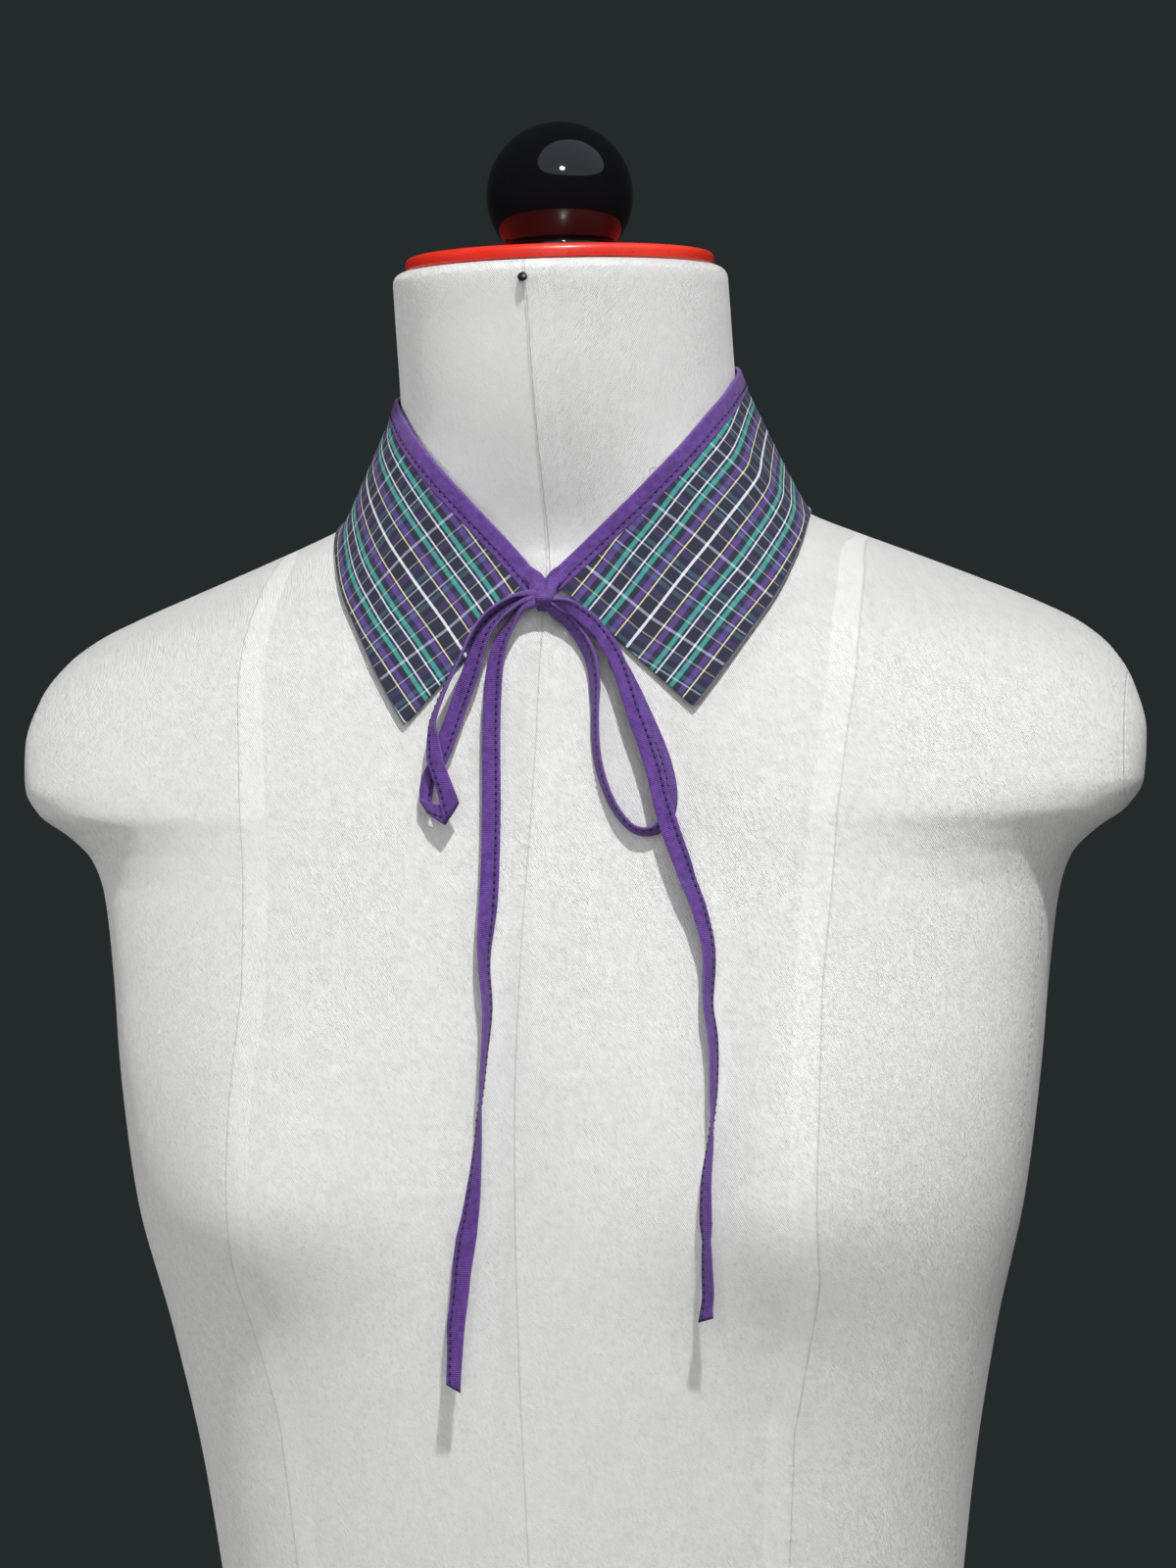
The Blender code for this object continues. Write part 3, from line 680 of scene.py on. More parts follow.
def twill(k, around, up):
    """The cover's diagonal wales and slubby streaks, which lean the other way on half the neck."""
    lean = k.remap(k.number("neck_left"), 0.4, 0.6, 1.0, -1.0)
    wander = k.noise(k.place(), 60.0, 3.0)
    run = k.math("ADD", k.times(around, lean), k.total((up, 0.62), (wander, 0.9)))
    length = k.total((up, 0.85), (run, -0.33))
    streak = k.noise(k.join(k.times(run, 2.2), k.times(length, 0.6)), 1.0, 1.0)
    streaks = k.remap(streak, 0.25, 0.75, -1.0, 1.0, "LINEAR")
    return k.total((k.wave(run, TWILL_PITCH), 0.8), (streaks, 1.0))


def pressed_band(k, seam, low, high):
    """The allowance pressed to one side of a seam, between two distances from it."""
    rise = k.remap(seam, low - 0.3, low + 0.5)
    fall = k.remap(seam, high - 1.2, high + 0.8, 1.0, 0.0)
    return k.times(rise, fall)


def cover_look():
    """White cotton twill, seams pressed so that their allowances show lighter."""
    k = Look("cover_twill", roughness=0.88, sheen=0.08)
    around, up = k.number("around"), k.number("up")
    front, princess, back = [k.number("seam_" + name) for name in ("front", "princess", "back")]
    side, plate = k.number("seam_side"), k.number("seam_plate")
    wale = twill(k, around, up)
    fuzz = k.noise(k.place(), 1500.0, 3.0, 0.65)
    slub = k.noise(k.place(), 240.0, 4.0, 0.6)
    near = k.math("ABSOLUTE", front)
    for seam in (princess, side, back, plate):
        near = k.math("MINIMUM", near, k.math("ABSOLUTE", seam))
    groove = k.remap(near, 0.0, 0.45, 1.0, 0.0)
    pucker = k.times(k.wave(up, SEAM_PUCKER), k.remap(near, 0.2, 3.0, 1.0, 0.0))
    neckward = k.remap(up, 570.0, 640.0, 0.35, 1.0)
    raised = k.times(pressed_band(k, front, 0.3, 8.2), neckward)
    raised = k.math("MAXIMUM", raised, pressed_band(k, princess, -9.0, -0.3))
    raised = k.math("MAXIMUM", raised, pressed_band(k, back, 0.2, 8.0))
    specks = k.remap(k.noise(k.place(), 900.0, 2.0, 0.6), 0.52, 0.72, 0.0, 0.22)
    soil = k.remap(k.noise(k.place(), 14.0, 2.0), 0.45, 0.75, 0.0, 0.10)
    k.colour(k.layered(
        k.mix(k.remap(slub, 0.25, 0.75), (0.775, 0.772, 0.755, 1), (0.83, 0.83, 0.82, 1)),
        (k.remap(wale, -1.4, 0.5, 0.42, 0.0, "LINEAR"), (0.45, 0.44, 0.42, 1)),
        (specks, (0.42, 0.42, 0.42, 1)),
        (soil, (0.70, 0.68, 0.62, 1)),
        # painted light: the neck is made lighter from 575 mm upward
        (k.remap(up, 575.0, 620.0, 0.0, 0.55), (0.90, 0.90, 0.89, 1)),
        # painted shade: the cover is darkened where it faces up, as on the shoulders
        (k.times(k.number("painted_shade_facing_up"), 0.66), (0.42, 0.42, 0.415, 1)),
        (k.times(raised, 0.22), (0.90, 0.90, 0.89, 1)),
        (k.times(groove, 0.30), (0.40, 0.39, 0.37, 1)),
    ))
    k.bump(k.total(
        (wale, 0.18), (fuzz, 0.40), (slub, 0.30), (raised, 0.35), (groove, -0.45), (pucker, 0.12),
    ), 0.0004)
    return k.mat


# Half of the check's repeat, from one mirror line to the next: how far each yarn's band
# reaches from the first mirror line, and its colour in the warp and in the weft.
SETT_HALF = 15.6
NAVY = (0.026, 0.027, 0.050, 1.0)
SETT = (
    ("upto", "warp", "weft"),
    (0.43, (0.93, 0.95, 1.00, 1.0), (0.78, 0.80, 0.98, 1.0)),
    (5.27, NAVY, NAVY),
    (5.73, (0.88, 0.80, 0.52, 1.0), (0.66, 0.60, 0.47, 1.0)),
    (6.35, NAVY, NAVY),
    (8.35, (0.115, 0.062, 0.275, 1.0), (0.085, 0.055, 0.20, 1.0)),
    (10.45, NAVY, NAVY),
    (12.05, (0.065, 0.385, 0.335, 1.0), (0.08, 0.19, 0.23, 1.0)),
    (12.90, NAVY, NAVY),
    (13.45, (0.82, 0.93, 1.00, 1.0), (0.70, 0.82, 0.95, 1.0)),
    (15.60, NAVY, NAVY),
)
WEFT_SHOWS = 0.31         # share of the crossing yarn on the face of the cloth
YARN_PITCH = 0.42         # from one warp yarn to the next
PICK_PITCH = 0.50         # and from one weft yarn to the next


def sett_stops(key):
    place = SETT[0].index(key)
    stops, at = [], 0.0
    for row in SETT[1:]:
        stops.append((at / SETT_HALF, row[place]))
        at = row[0]
    return stops


def check_look():
    """Yarn-dyed check shirting with its face mostly warp."""
    k = Look("collar_check_cloth", roughness=0.85, sheen=0.04, specular=0.25)
    along, out = k.number("cut_along"), k.number("cut_out")
    slack = k.noise(k.join(along, out), 0.9, 1.0)
    slack = k.times(k.math("SUBTRACT", slack, 0.5), 0.22)
    yarns = []
    for key, place in (("warp", out), ("weft", along)):
        folded = k.math("PINGPONG", k.math("ADD", place, slack), SETT_HALF)
        yarns.append(k.ramp(k.math("DIVIDE", folded, SETT_HALF), sett_stops(key)))
    weave = k.times(k.wave(out, YARN_PITCH), k.wave(along, PICK_PITCH))
    shows = k.math("ADD", WEFT_SHOWS, k.times(weave, 0.06))
    flecks = k.noise(k.join(k.times(along, 0.4), k.times(out, 3.0)), 2.4, 3.0)
    edge = k.number("edge")
    k.colour(k.layered(
        k.mix(shows, *yarns),
        (k.remap(weave, -1.0, 1.0, 0.0, 0.14, "LINEAR"), (0.008, 0.008, 0.018, 1)),
        (k.remap(flecks, 0.5, 0.85, 0.0, 0.07), (0.20, 0.19, 0.27, 1)),
        (k.remap(edge, 0.45, 0.75, 1.0, 0.0), (0.045, 0.046, 0.075, 1)),
        (k.remap(edge, -0.1, 0.35, 0.75, 0.0), (0.27, 0.26, 0.32, 1)),
    ))
    k.bump(k.total((weave, 0.25), (k.noise(k.place(), 900.0, 2.0), 0.35)), 0.00016)
    return k.mat


RIB_PITCH = 0.62          # from one rib across the tape to the next
THREAD_PITCH = 0.42       # and from one thread along it to the next
SEAM_IN = 1.55            # the stitches run this far from the middle of the tape


def tape_look():
    """Ribbed cotton tape, a little lighter in colour on its folded edges."""
    k = Look("purple_tape", roughness=0.74, sheen=0.12, specular=0.40)
    along, across = k.number("tape_along"), k.number("tape_across")
    rib, thread = k.wave(along, RIB_PITCH), k.wave(across, THREAD_PITCH)
    mottle = k.noise(k.place(), 420.0, 4.0, 0.6)
    edge = k.remap(k.math("ABSOLUTE", across), 2.55, 3.0)
    sunk = k.remap(k.math("ABSOLUTE", k.math("ADD", across, SEAM_IN)), 0.05, 0.55, 1.0, 0.0)
    k.colour(k.layered(
        k.mix(k.remap(mottle, 0.3, 0.7), (0.081, 0.026, 0.203, 1), (0.148, 0.052, 0.322, 1)),
        (k.remap(rib, -1.0, 0.5, 0.34, 0.0, "LINEAR"), (0.030, 0.010, 0.08, 1)),
        (k.times(edge, 0.35), (0.20, 0.11, 0.34, 1)),
        # painted shade: the dip along each row of stitches is darkened
        (k.times(sunk, 0.45), (0.030, 0.010, 0.075, 1)),
        # painted shade: the bare cut end of each tail is darkened where its folded layers open
        (k.remap(k.number("painted_shade_cut_end"), 0.38, 0.5, 0.0, 0.85), (0.014, 0.006, 0.03, 1)),
    ))
    k.bump(k.total((rib, 0.22), (thread, 0.08), (mottle, 1.0), (sunk, -0.7)), 0.00034)
    return k.mat


def thread_look():
    k = Look("stitch_thread", roughness=0.55, sheen=0.05)
    twist = k.noise(k.place(), 2600.0, 2.0)
    k.colour(k.mix(k.remap(twist, 0.35, 0.65), (0.004, 0.002, 0.012, 1), (0.009, 0.004, 0.024, 1)))
    k.bump(twist, 0.0001)
    return k.mat


def cap_look():
    """Red gloss lacquer with small knocks."""
    k = Look("red_lacquer", roughness=0.32, coat=0.35, coat_rough=0.18)
    at = k.place()
    knocks = k.noise(at, 320.0, 6.0, 0.75)
    patch = k.noise(at, 40.0, 2.0)
    red = k.mix(k.remap(patch, 0.35, 0.7), lin(222, 45, 28), lin(236, 60, 44))
    k.colour(k.mix(k.remap(knocks, 0.66, 0.76, 0.0, 0.45), red, lin(240, 120, 100)))
    k.rough(k.remap(knocks, 0.3, 0.8, 0.25, 0.48))
    k.bump(k.noise(at, 90.0, 3.0), 0.0002)
    return k.mat


def knob_look():
    k = Look("black_lacquer", roughness=0.06, specular=0.38)
    at = k.place()
    dust = k.noise(at, 900.0, 5.0, 0.7)
    specks = k.remap(dust, 0.68, 0.78, 0.0, 0.5)
    k.colour(k.mix(specks, (0.004, 0.004, 0.005, 1), (0.06, 0.06, 0.06, 1)))
    k.rough(k.remap(k.noise(at, 70.0, 3.0), 0.3, 0.7, 0.04, 0.10))
    k.bump(k.noise(at, 55.0, 2.0), 0.00015)
    return k.mat


def pin_look():
    k = Look("pin_enamel", roughness=0.28, coat=0.5)
    chips = k.noise(k.place(), 1500.0, 3.0)
    k.colour(k.mix(k.remap(chips, 0.6, 0.8, 0.0, 0.6), (0.010, 0.010, 0.014, 1), (0.05, 0.05, 0.07, 1)))
    k.bump(chips, 0.00005)
    return k.mat


COVER = cover_look()
CHECK = check_look()
TAPE = tape_look()
THREAD = thread_look()
CAP = cap_look()
KNOB = knob_look()
PIN = pin_look()

# ---------------------------------------------------------------- ties
# Where a route and a turn can't tell enough, a tie is drawn from its two edges, each as x,
# height and distance off the chest. First the fold at the tip of the loop on the wearer's
# right, where the tape is creased twice. Edge b carries the stitches.
EDGES = ("ax", "az", "aoff", "bx", "bz", "boff")
LOOP_TIP = (
    EDGES,
    (-28.1, 538.9, 10.0, -32.6, 539.0, 9.0),
    (-26.6, 532.9, 9.8, -32.3, 533.0, 8.8),
    (-24.4, 527.9, 9.4, -30.3, 528.0, 8.6),
    (-22.2, 523.0, 8.9, -28.3, 522.5, 8.2),
    (-21.2, 520.0, 7.8, -25.6, 512.6, 7.4),
    (-28.1, 518.9, 6.6, -30.3, 515.0, 5.9),
    (-34.6, 520.8, 5.4, -31.6, 516.1, 5.0),
    (-35.3, 523.6, 4.6, -30.9, 519.5, 4.2),
    (-34.9, 528.0, 4.4, -30.8, 523.5, 4.0),
    (-33.3, 531.5, 4.3, -30.3, 527.0, 3.9),
    (-31.5, 535.5, 4.3, -27.2, 531.5, 3.9),
    (-30.0, 541.5, 4.4, -25.1, 536.4, 4.2),
    (-27.0, 550.5, 4.8, -20.8, 550.4, 4.8),
)
# The strands that leave the knot on the wearer's left: the tail, and the loop's first and
# last strands. Edge a carries the stitches.
TAIL_HEAD = (
    EDGES,
    (6.5, 584.7, 10.2, 5.6, 583.4, 6.6),
    (8.9, 584.4, 11.6, 7.8, 581.9, 7.2),
    (11.1, 584.1, 12.4, 10.1, 580.0, 7.9),
    (13.5, 583.2, 12.0, 12.3, 578.3, 8.2),
    (15.9, 581.7, 11.2, 14.6, 576.5, 8.2),
    (18.3, 580.0, 10.4, 16.9, 574.6, 8.0),
    (20.5, 578.1, 9.7, 19.3, 572.5, 7.8),
    (23.0, 575.4, 9.0, 20.8, 570.4, 7.5),
    (25.0, 572.9, 8.5, 22.1, 567.9, 7.3),
    (26.8, 570.5, 8.1, 23.7, 566.0, 7.2),
    (28.3, 567.8, 7.8, 25.0, 563.8, 7.0),
    (29.9, 564.9, 7.5, 26.2, 561.1, 6.9),
    (31.5, 561.3, 7.3, 27.6, 557.5, 6.8),
    (34.7, 552.7, 7.2, 29.9, 551.1, 6.8),
    (36.4, 548.3, 7.1, 31.4, 546.7, 6.8),
    (38.1, 544.4, 7.1, 32.9, 542.8, 6.8),
    (39.9, 540.3, 7.1, 34.7, 538.7, 6.9),
    (41.7, 535.6, 7.2, 36.5, 534.0, 7.1),
    (43.2, 531.5, 7.4, 38.0, 529.9, 7.3),
    (44.9, 526.5, 7.6, 39.6, 524.8, 7.6),
    (45.7, 523.3, 7.6, 40.5, 521.7, 7.7),
)
LOOP_HEAD = (
    EDGES,
    (6.3, 583.0, 9.0, 3.8, 580.6, 4.6),
    (8.9, 581.2, 8.6, 5.6, 578.3, 4.0),
    (11.4, 579.2, 8.0, 8.1, 576.2, 3.3),
    (13.7, 576.8, 7.4, 10.2, 574.0, 2.8),
    (15.6, 574.3, 7.0, 12.2, 571.5, 2.4),
    (17.9, 571.2, 6.7, 13.8, 569.0, 2.0),
    (19.3, 568.6, 6.5, 15.4, 566.1, 1.7),
    (20.4, 566.1, 6.3, 16.5, 563.2, 1.4),
    (21.2, 563.2, 6.2, 17.3, 560.0, 1.2),
    (21.8, 559.8, 6.1, 17.8, 557.1, 1.1),
    (22.3, 555.9, 6.1, 18.1, 554.2, 1.0),
)
LOOP_HEEL = (
    EDGES,
    (23.9, 566.4, 5.8, 26.6, 569.4, 2.0),
    (19.7, 571.1, 6.2, 21.6, 573.6, 2.4),
    (17.7, 573.1, 6.6, 19.4, 575.8, 2.4),
    (15.9, 575.1, 6.8, 17.4, 577.7, 2.4),
    (13.8, 577.1, 7.0, 15.2, 579.5, 2.6),
    (11.7, 580.4, 8.0, 12.3, 582.0, 3.0),
    (9.3, 583.2, 8.6, 8.6, 584.4, 3.6),
)
# The last part of each tail.
FOOT_LEFT_HAND = (
    EDGES,
    (-11.5, 385.3, 5.0, -18.4, 385.0, 4.2),
    (-12.5, 379.8, 5.2, -19.3, 379.5, 3.9),
    (-13.5, 374.4, 5.3, -20.0, 373.9, 3.7),
    (-14.2, 368.9, 5.5, -20.6, 368.4, 3.7),
    (-14.9, 363.4, 5.9, -21.3, 362.8, 3.9),
    (-15.6, 358.0, 6.5, -21.9, 357.4, 4.5),
    (-16.1, 352.5, 7.1, -21.8, 352.1, 5.6),
    (-16.5, 347.1, 7.8, -21.6, 346.7, 6.9),
    (-16.8, 342.2, 8.3, -21.6, 342.1, 8.3),
    (-17.1, 336.8, 8.5, -21.5, 339.4, 9.4),
)
FOOT_RIGHT_HAND = (
    EDGES,
    (60.0, 385.7, 3.3, 63.1, 386.1, 7.2),
    (59.6, 381.2, 3.4, 63.3, 381.5, 7.2),
    (59.4, 376.7, 3.8, 63.3, 377.0, 7.2),
    (59.3, 372.3, 4.4, 63.4, 372.5, 7.4),
    (59.2, 367.8, 5.2, 63.2, 368.0, 7.7),
    (58.5, 363.8, 6.3, 62.7, 364.2, 7.9),
    (58.0, 360.3, 7.8, 62.9, 361.9, 8.4),
)
# One face of the tape's section from fold to fold, with the dip of its row of stitches.
TAPE_FACE = (
    ("across", "rise"),
    (-3.00, 0.00), (-2.93, 0.26), (-2.70, 0.42), (-2.20, 0.47), (-1.80, 0.41),
    (-1.55, 0.35), (-1.30, 0.41), (-0.90, 0.47), (0.40, 0.50), (1.80, 0.49),
    (2.60, 0.46), (2.90, 0.30),
)
HALF_TAPE = TAPE_WIDTH / 2
BUNCHED = 1.6             # how much thicker the tape is where it goes into the knot
BUNCH_REACH = 8.0         # and how far from the knot this fades
STITCH_PITCH = 2.4
STITCH_LONG = 1.4
STITCH_RADIUS = 0.41
# Along a stitch: the place, the size of its section, and how deep it is sunk.
STITCH_SHAPE = (
    (0.0, 0.35, 0.55), (0.18, 0.9, 0.1), (0.5, 1.0, -0.1), (0.82, 0.9, 0.1), (1.0, 0.35, 0.55),
)
STITCH_SIDES = 6
STITCH_OUT = 0.40         # its middle lies this far from the middle of a tie's tape


def route_frame(route):
    """Line, direction, width direction and face direction at each station."""
    line, turn = route[:, :3], np.radians(route[:, 3])
    along = unit(np.gradient(line, axis=0))
    ahead = np.array([0.0, -1.0, 0.0])
    face = unit(ahead - along * (along @ ahead)[:, None])
    side = np.cross(along, face)
    wide = side * np.cos(turn)[:, None] + face * np.sin(turn)[:, None]
    return line, along, wide, np.cross(wide, along)


def into_knot(line, wide, at_end):
    """One more station, inside the wrap of the knot."""
    knot = on_chest(np.array([KNOT_X]), np.array([KNOT_Z]), KNOT_OFF)[0]
    place = -1 if at_end else 0
    more = line[place] + (knot - line[place]) * KNOT_ENTRY
    if at_end:
        return np.vstack([line, more]), np.vstack([wide, wide[-1]])
    return np.vstack([more, line]), np.vstack([wide[0], wide])


def edge_stations(table, creased):
    """Stations through a table of edges, as middles and half widths."""
    a, b = [on_chest(*[column(table, name) for name in names]) for names in (EDGES[:3], EDGES[3:])]
    both = np.hstack([(a + b) / 2, (a - b) / 2])
    if creased:
        spot = np.linspace(0.0, len(a) - 1.0, 4 * (len(a) - 1) + 1)
        knots = np.arange(len(a))
        made = np.stack([np.interp(spot, knots, both[:, c]) for c in range(6)], axis=1)
    else:
        _, length = smooth_curve(both, 2)
        made, _ = smooth_curve(both, int(length / TIE_FINE) + 1)
    return made[:, :3], made[:, 3:]


def nearest(line, spot):
    return int(np.argmin(np.linalg.norm(line - spot, axis=1)))


def splice(tie, part, start, stop):
    """Put other stations in place of those from start up to stop."""
    return [np.vstack([old[:start], new, old[stop:]]) for old, new in zip(tie, part)]


def tape_edges(node, table):
    """Middle line of a tie and half of its width as a vector, at every drawn station."""
    line, _, wide, _ = route_frame(tie_route(table))
    low = int(np.argmin(line[:, 2]))
    tie = (line, wide * HALF_TAPE)
    if node == "bow_loop_right":
        tip = edge_stations(LOOP_TIP, True)
        start = nearest(line[:low], tip[0][0])
        stop = low + nearest(line[low:], tip[0][-1])
        tie = splice(tie, tip, start - 2, stop + 3)
    if node == "bow_loop_left":
        heel = edge_stations(LOOP_HEEL, False)
        start = low + nearest(line[low:], heel[0][0])
        tie = splice(tie, heel, start - 3, len(line))
    if node in ("bow_loop_left", "tie_tail_left"):
        head = edge_stations(TAIL_HEAD if node == "tie_tail_left" else LOOP_HEAD, False)
        stop = nearest(tie[0][: len(tie[0]) // 3], head[0][-1])
        tie = splice(tie, head, 0, stop + 4)
    if node.startswith("tie_tail"):
        foot = edge_stations(FOOT_LEFT_HAND if node == "tie_tail_right" else FOOT_RIGHT_HAND, False)
        start = nearest(tie[0], foot[0][0])
        tie = splice(tie, foot, start - 3, len(tie[0]))
    line, wide = into_knot(*tie, False)
    if node.startswith("bow_loop"):
        line, wide = into_knot(line, wide, True)
    along = np.gradient(line, axis=0)
    flat = unit(wide)
    along = unit(along - flat * (along * flat).sum(axis=1)[:, None])
    return line, wide, np.cross(flat, along)


def tape_mesh(line, wide, thick, flip, both_ends):
    """Rings of the tape's rounded section; flip puts the stitched edge on the other side.
    The tape is bunched where it goes into the knot."""
    across, rise = column(TAPE_FACE, "across"), column(TAPE_FACE, "rise")
    across = np.r_[across, -across[0], across[:0:-1]]
    rise = np.r_[rise, 0.0, -rise[:0:-1]]
    share = (-across if flip else across) / HALF_TAPE
    run = run_along(line)
    bunch = 1 + BUNCHED * np.exp(-(run / BUNCH_REACH) ** 2)
    if both_ends:
        bunch = bunch + BUNCHED * np.exp(-((run[-1] - run) / BUNCH_REACH) ** 2)
    rings = []
    for i in range(len(line)):
        rings.append(line[i] + wide[i] * share[:, None] + thick[i] * (rise * bunch[i])[:, None])
    count = len(across)
    faces = ring_faces(len(rings), count)
    if not flip:
        faces = [f[::-1] for f in faces]
    layers = {
        "tape_along": np.repeat(run, count),
        "tape_across": np.tile(across, len(rings)),
        # marks the bare cut end that gets painted shade
        "painted_shade_cut_end": np.repeat((run >= run[-1]) * (0.0 if both_ends else 1.0), count),
    }
    return np.concatenate(rings), faces, layers, run[-1]


def stitch_points(start, end, up):
    """One stitch, sunk at both ends."""
    points = []
    ahead = unit(end - start)
    side = np.cross(ahead, up)
    for place, size, deep in STITCH_SHAPE:
        middle = start + (end - start) * place - up * STITCH_RADIUS * deep * 2
        for i in range(STITCH_SIDES):
            a = i * 2 * math.pi / STITCH_SIDES
            points.append(middle + (side * math.cos(a) + up * math.sin(a)) * STITCH_RADIUS * size)
    return points


def stitch_row(line, up):
    """Points and faces of a row of stitches along a line, up being away from the cloth."""
    run = run_along(line)

    def at(place, values):
        return np.array([np.interp(place, run, values[:, c]) for c in range(3)])

    points, faces = [], []
    start = STITCH_PITCH * 0.4
    while start + STITCH_LONG < run[-1]:
        away = unit(at(start + STITCH_LONG / 2, up))
        base = len(points)
        points += stitch_points(at(start, line), at(start + STITCH_LONG, line), away)
        faces += [tuple(base + i for i in f) for f in ring_faces(len(STITCH_SHAPE), STITCH_SIDES)]
        start += STITCH_PITCH
    return points, faces


TIES = (
    ("node", "table", "end", "flip"),
    ("tie_tail_right", TAIL_LEFT_HAND, "bare", False),
    ("tie_tail_left", TAIL_RIGHT_HAND, "bare", True),
    ("bow_loop_right", LOOP_LEFT_HAND, "object", False),
    ("bow_loop_left", LOOP_RIGHT_HAND, "object", True),
)


def tie_stitches(line, wide, thick, flip):
    """The two rows of stitches of a tie, one on each face."""
    points, faces = [], []
    share = (SEAM_IN if flip else -SEAM_IN) / HALF_TAPE
    for side in (1.0, -1.0):
        row = line + wide * share + thick * (STITCH_OUT * side)
        more, more_faces = stitch_row(row, thick * side)
        faces += [tuple(len(points) + i for i in f) for f in more_faces]
        points += more
    return points, faces


def build_ties():
    for node, table, end, flip in TIES[1:]:
        line, wide, thick = tape_edges(node, table)
        points, faces, layers, length = tape_mesh(line, wide, thick, flip, end == "object")
        piece = put(node + "_tape", points, faces, TAPE, layers)
        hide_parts(node)
        stitches = put(node + "_stitches", *tie_stitches(line, wide, thick, flip), THREAD)


build_ties()


# ---------------------------------------------------------------- the form
# Seams of the cover: height and distance from the middle plane, or y for the side seam.
FRONT_SEAM = (("z", "x"), (0, 0), (277, 0.5), (308, 0.1), (339, -0.4), (370, -0.6), (401, -0.8),
              (432, -1.0), (463, -0.7), (488, -0.2), (512, 0.4), (540, 0.8), (572, 0.7), (606, 0.2),
              (640, 0.3), (661, 0.1), (700, 0.0))
PRINCESS_SEAM = (("z", "x"), (0, 92), (60, 91), (140, 85), (220, 79), (280, 80.5), (322, 83.5),
                 (348, 89), (370, 94), (426, 94.7), (460, 94), (489, 95.8), (514, 97.5),
                 (540, 100), (558, 102), (574, 102.3), (592, 101.5), (605, 99))
SIDE_SEAM = (("z", "y"), (0, -6), (200, -12), (268, -23), (294, -32), (331, -41), (355, -43),
             (397, -45), (440, -44), (492, -41), (505, -40))
PRINCESS_END = 608.0      # the seams end at these heights
SIDE_END = 506.0
PLATE_X = 184.0           # the seam round the shoulder plate, and the heights between
PLATE_SPAN = (500.0, 590.0)   # which it runs
FAR = 60.0                # stands for no seam within reach
NO_SEAM = 20.0            # and for the two flat ends of the cover
# The twill leans the other way to the left of the front seam, above the first height near
# the front and above the second elsewhere.
NECK_FROM = (588.0, 626.0)
NECK_FRONT = 36.0         # how far the front reaches on each side

COVER_COLUMNS = 200
# The heights at which the cover is drawn, as runs.
COVER_RUNS = (
    ("from_z", "to_z", "steps"),
    (0.0, 210.0, 26),
    (210.0, 480.0, 60),
    (480.0, 600.0, 80),
    (600.0, 640.0, 22),
    (640.0, 690.5, 18),
)


def rounded_rim(steps):
    """Rise and inset of a rounded rim, from its flat end to its side."""
    turns = np.linspace(0, math.pi / 2, steps)
    return [(EDGE_ROUND * (1 - math.cos(a)), EDGE_ROUND * (1 - math.sin(a))) for a in turns]


def cover_levels():
    """Height and inset of each level of the cover, from its hip end to its neck rim."""
    levels = rounded_rim(5)
    for low, high, steps in COVER_RUNS[1:]:
        heights = np.linspace(low, high, steps, endpoint=False)
        levels += [(float(z), 0.0) for z in heights if z > EDGE_ROUND + 1]
    return levels + [(NECK_TOP - inset, rise) for rise, inset in rounded_rim(6)]


def seam_runs(rings, runs, table, key, axis):
    """Run along the left half of each level at which a seam crosses it."""
    made = []
    half = COVER_COLUMNS // 2 + 1
    for ring, run in zip(rings, runs):
        want = float(np.interp(ring[:, 2].mean(), column(table, "z"), column(table, key)))
        values = ring[:half, axis]
        end = int(np.argmax(values)) + 1 if axis == 0 else half
        made.append(float(np.interp(want, values[:end], run[:end])))
    return np.array(made)


def cover_layers(rings, runs, at_level, at_column, x, z):
    """Numbers for the cover's look: places on it and distances from its seams."""
    whole, distance = runs[at_level, -1], runs[at_level, at_column]
    beyond = distance.reshape(-1, 4).mean(axis=1) > whole.reshape(-1, 4).mean(axis=1) / 2
    signed = np.where(np.repeat(beyond, 4), distance - whole, distance)
    size = np.abs(signed)
    heights = rings[:, :, 2].mean(axis=1)
    front = np.interp(heights, column(FRONT_SEAM, "z"), column(FRONT_SEAM, "x"))
    from_front = signed - front[at_level]
    on_plate = (z > PLATE_SPAN[0]) & (z < PLATE_SPAN[1])
    on_neck = z > np.where(size < NECK_FRONT, *NECK_FROM)

    def gap(table, key, axis, end):
        away = size - seam_runs(rings, runs, table, key, axis)[at_level]
        return np.where(heights[at_level] > end, np.where(away < 0, -FAR, FAR), away)

    return {
        "around": signed,
        "up": z,
        "seam_front": from_front,
        "seam_princess": gap(PRINCESS_SEAM, "x", 0, PRINCESS_END),
        "seam_side": gap(SIDE_SEAM, "y", 1, SIDE_END),
        "seam_back": np.abs(whole / 2 - size),
        "seam_plate": np.where(on_plate, np.abs(x) - PLATE_X, -FAR),
        "neck_left": (on_neck & (from_front > 0)).astype(float),
    }


def facing_up(points, quads):
    """How far the surface at each corner faces up, from 0 to 1, which sets the painted shade on the
    cover's up-facing parts.
    """
    corners = points[quads]
    facing = np.cross(corners[:, 1] - corners[:, 0], corners[:, 3] - corners[:, 0])
    tilt = np.zeros((len(points), 3))
    for corner in range(4):
        np.add.at(tilt, quads[:, corner], facing)
    return np.clip((unit(tilt)[:, 2] - 0.05) / 0.75, 0.0, 1.0)[quads.ravel()]


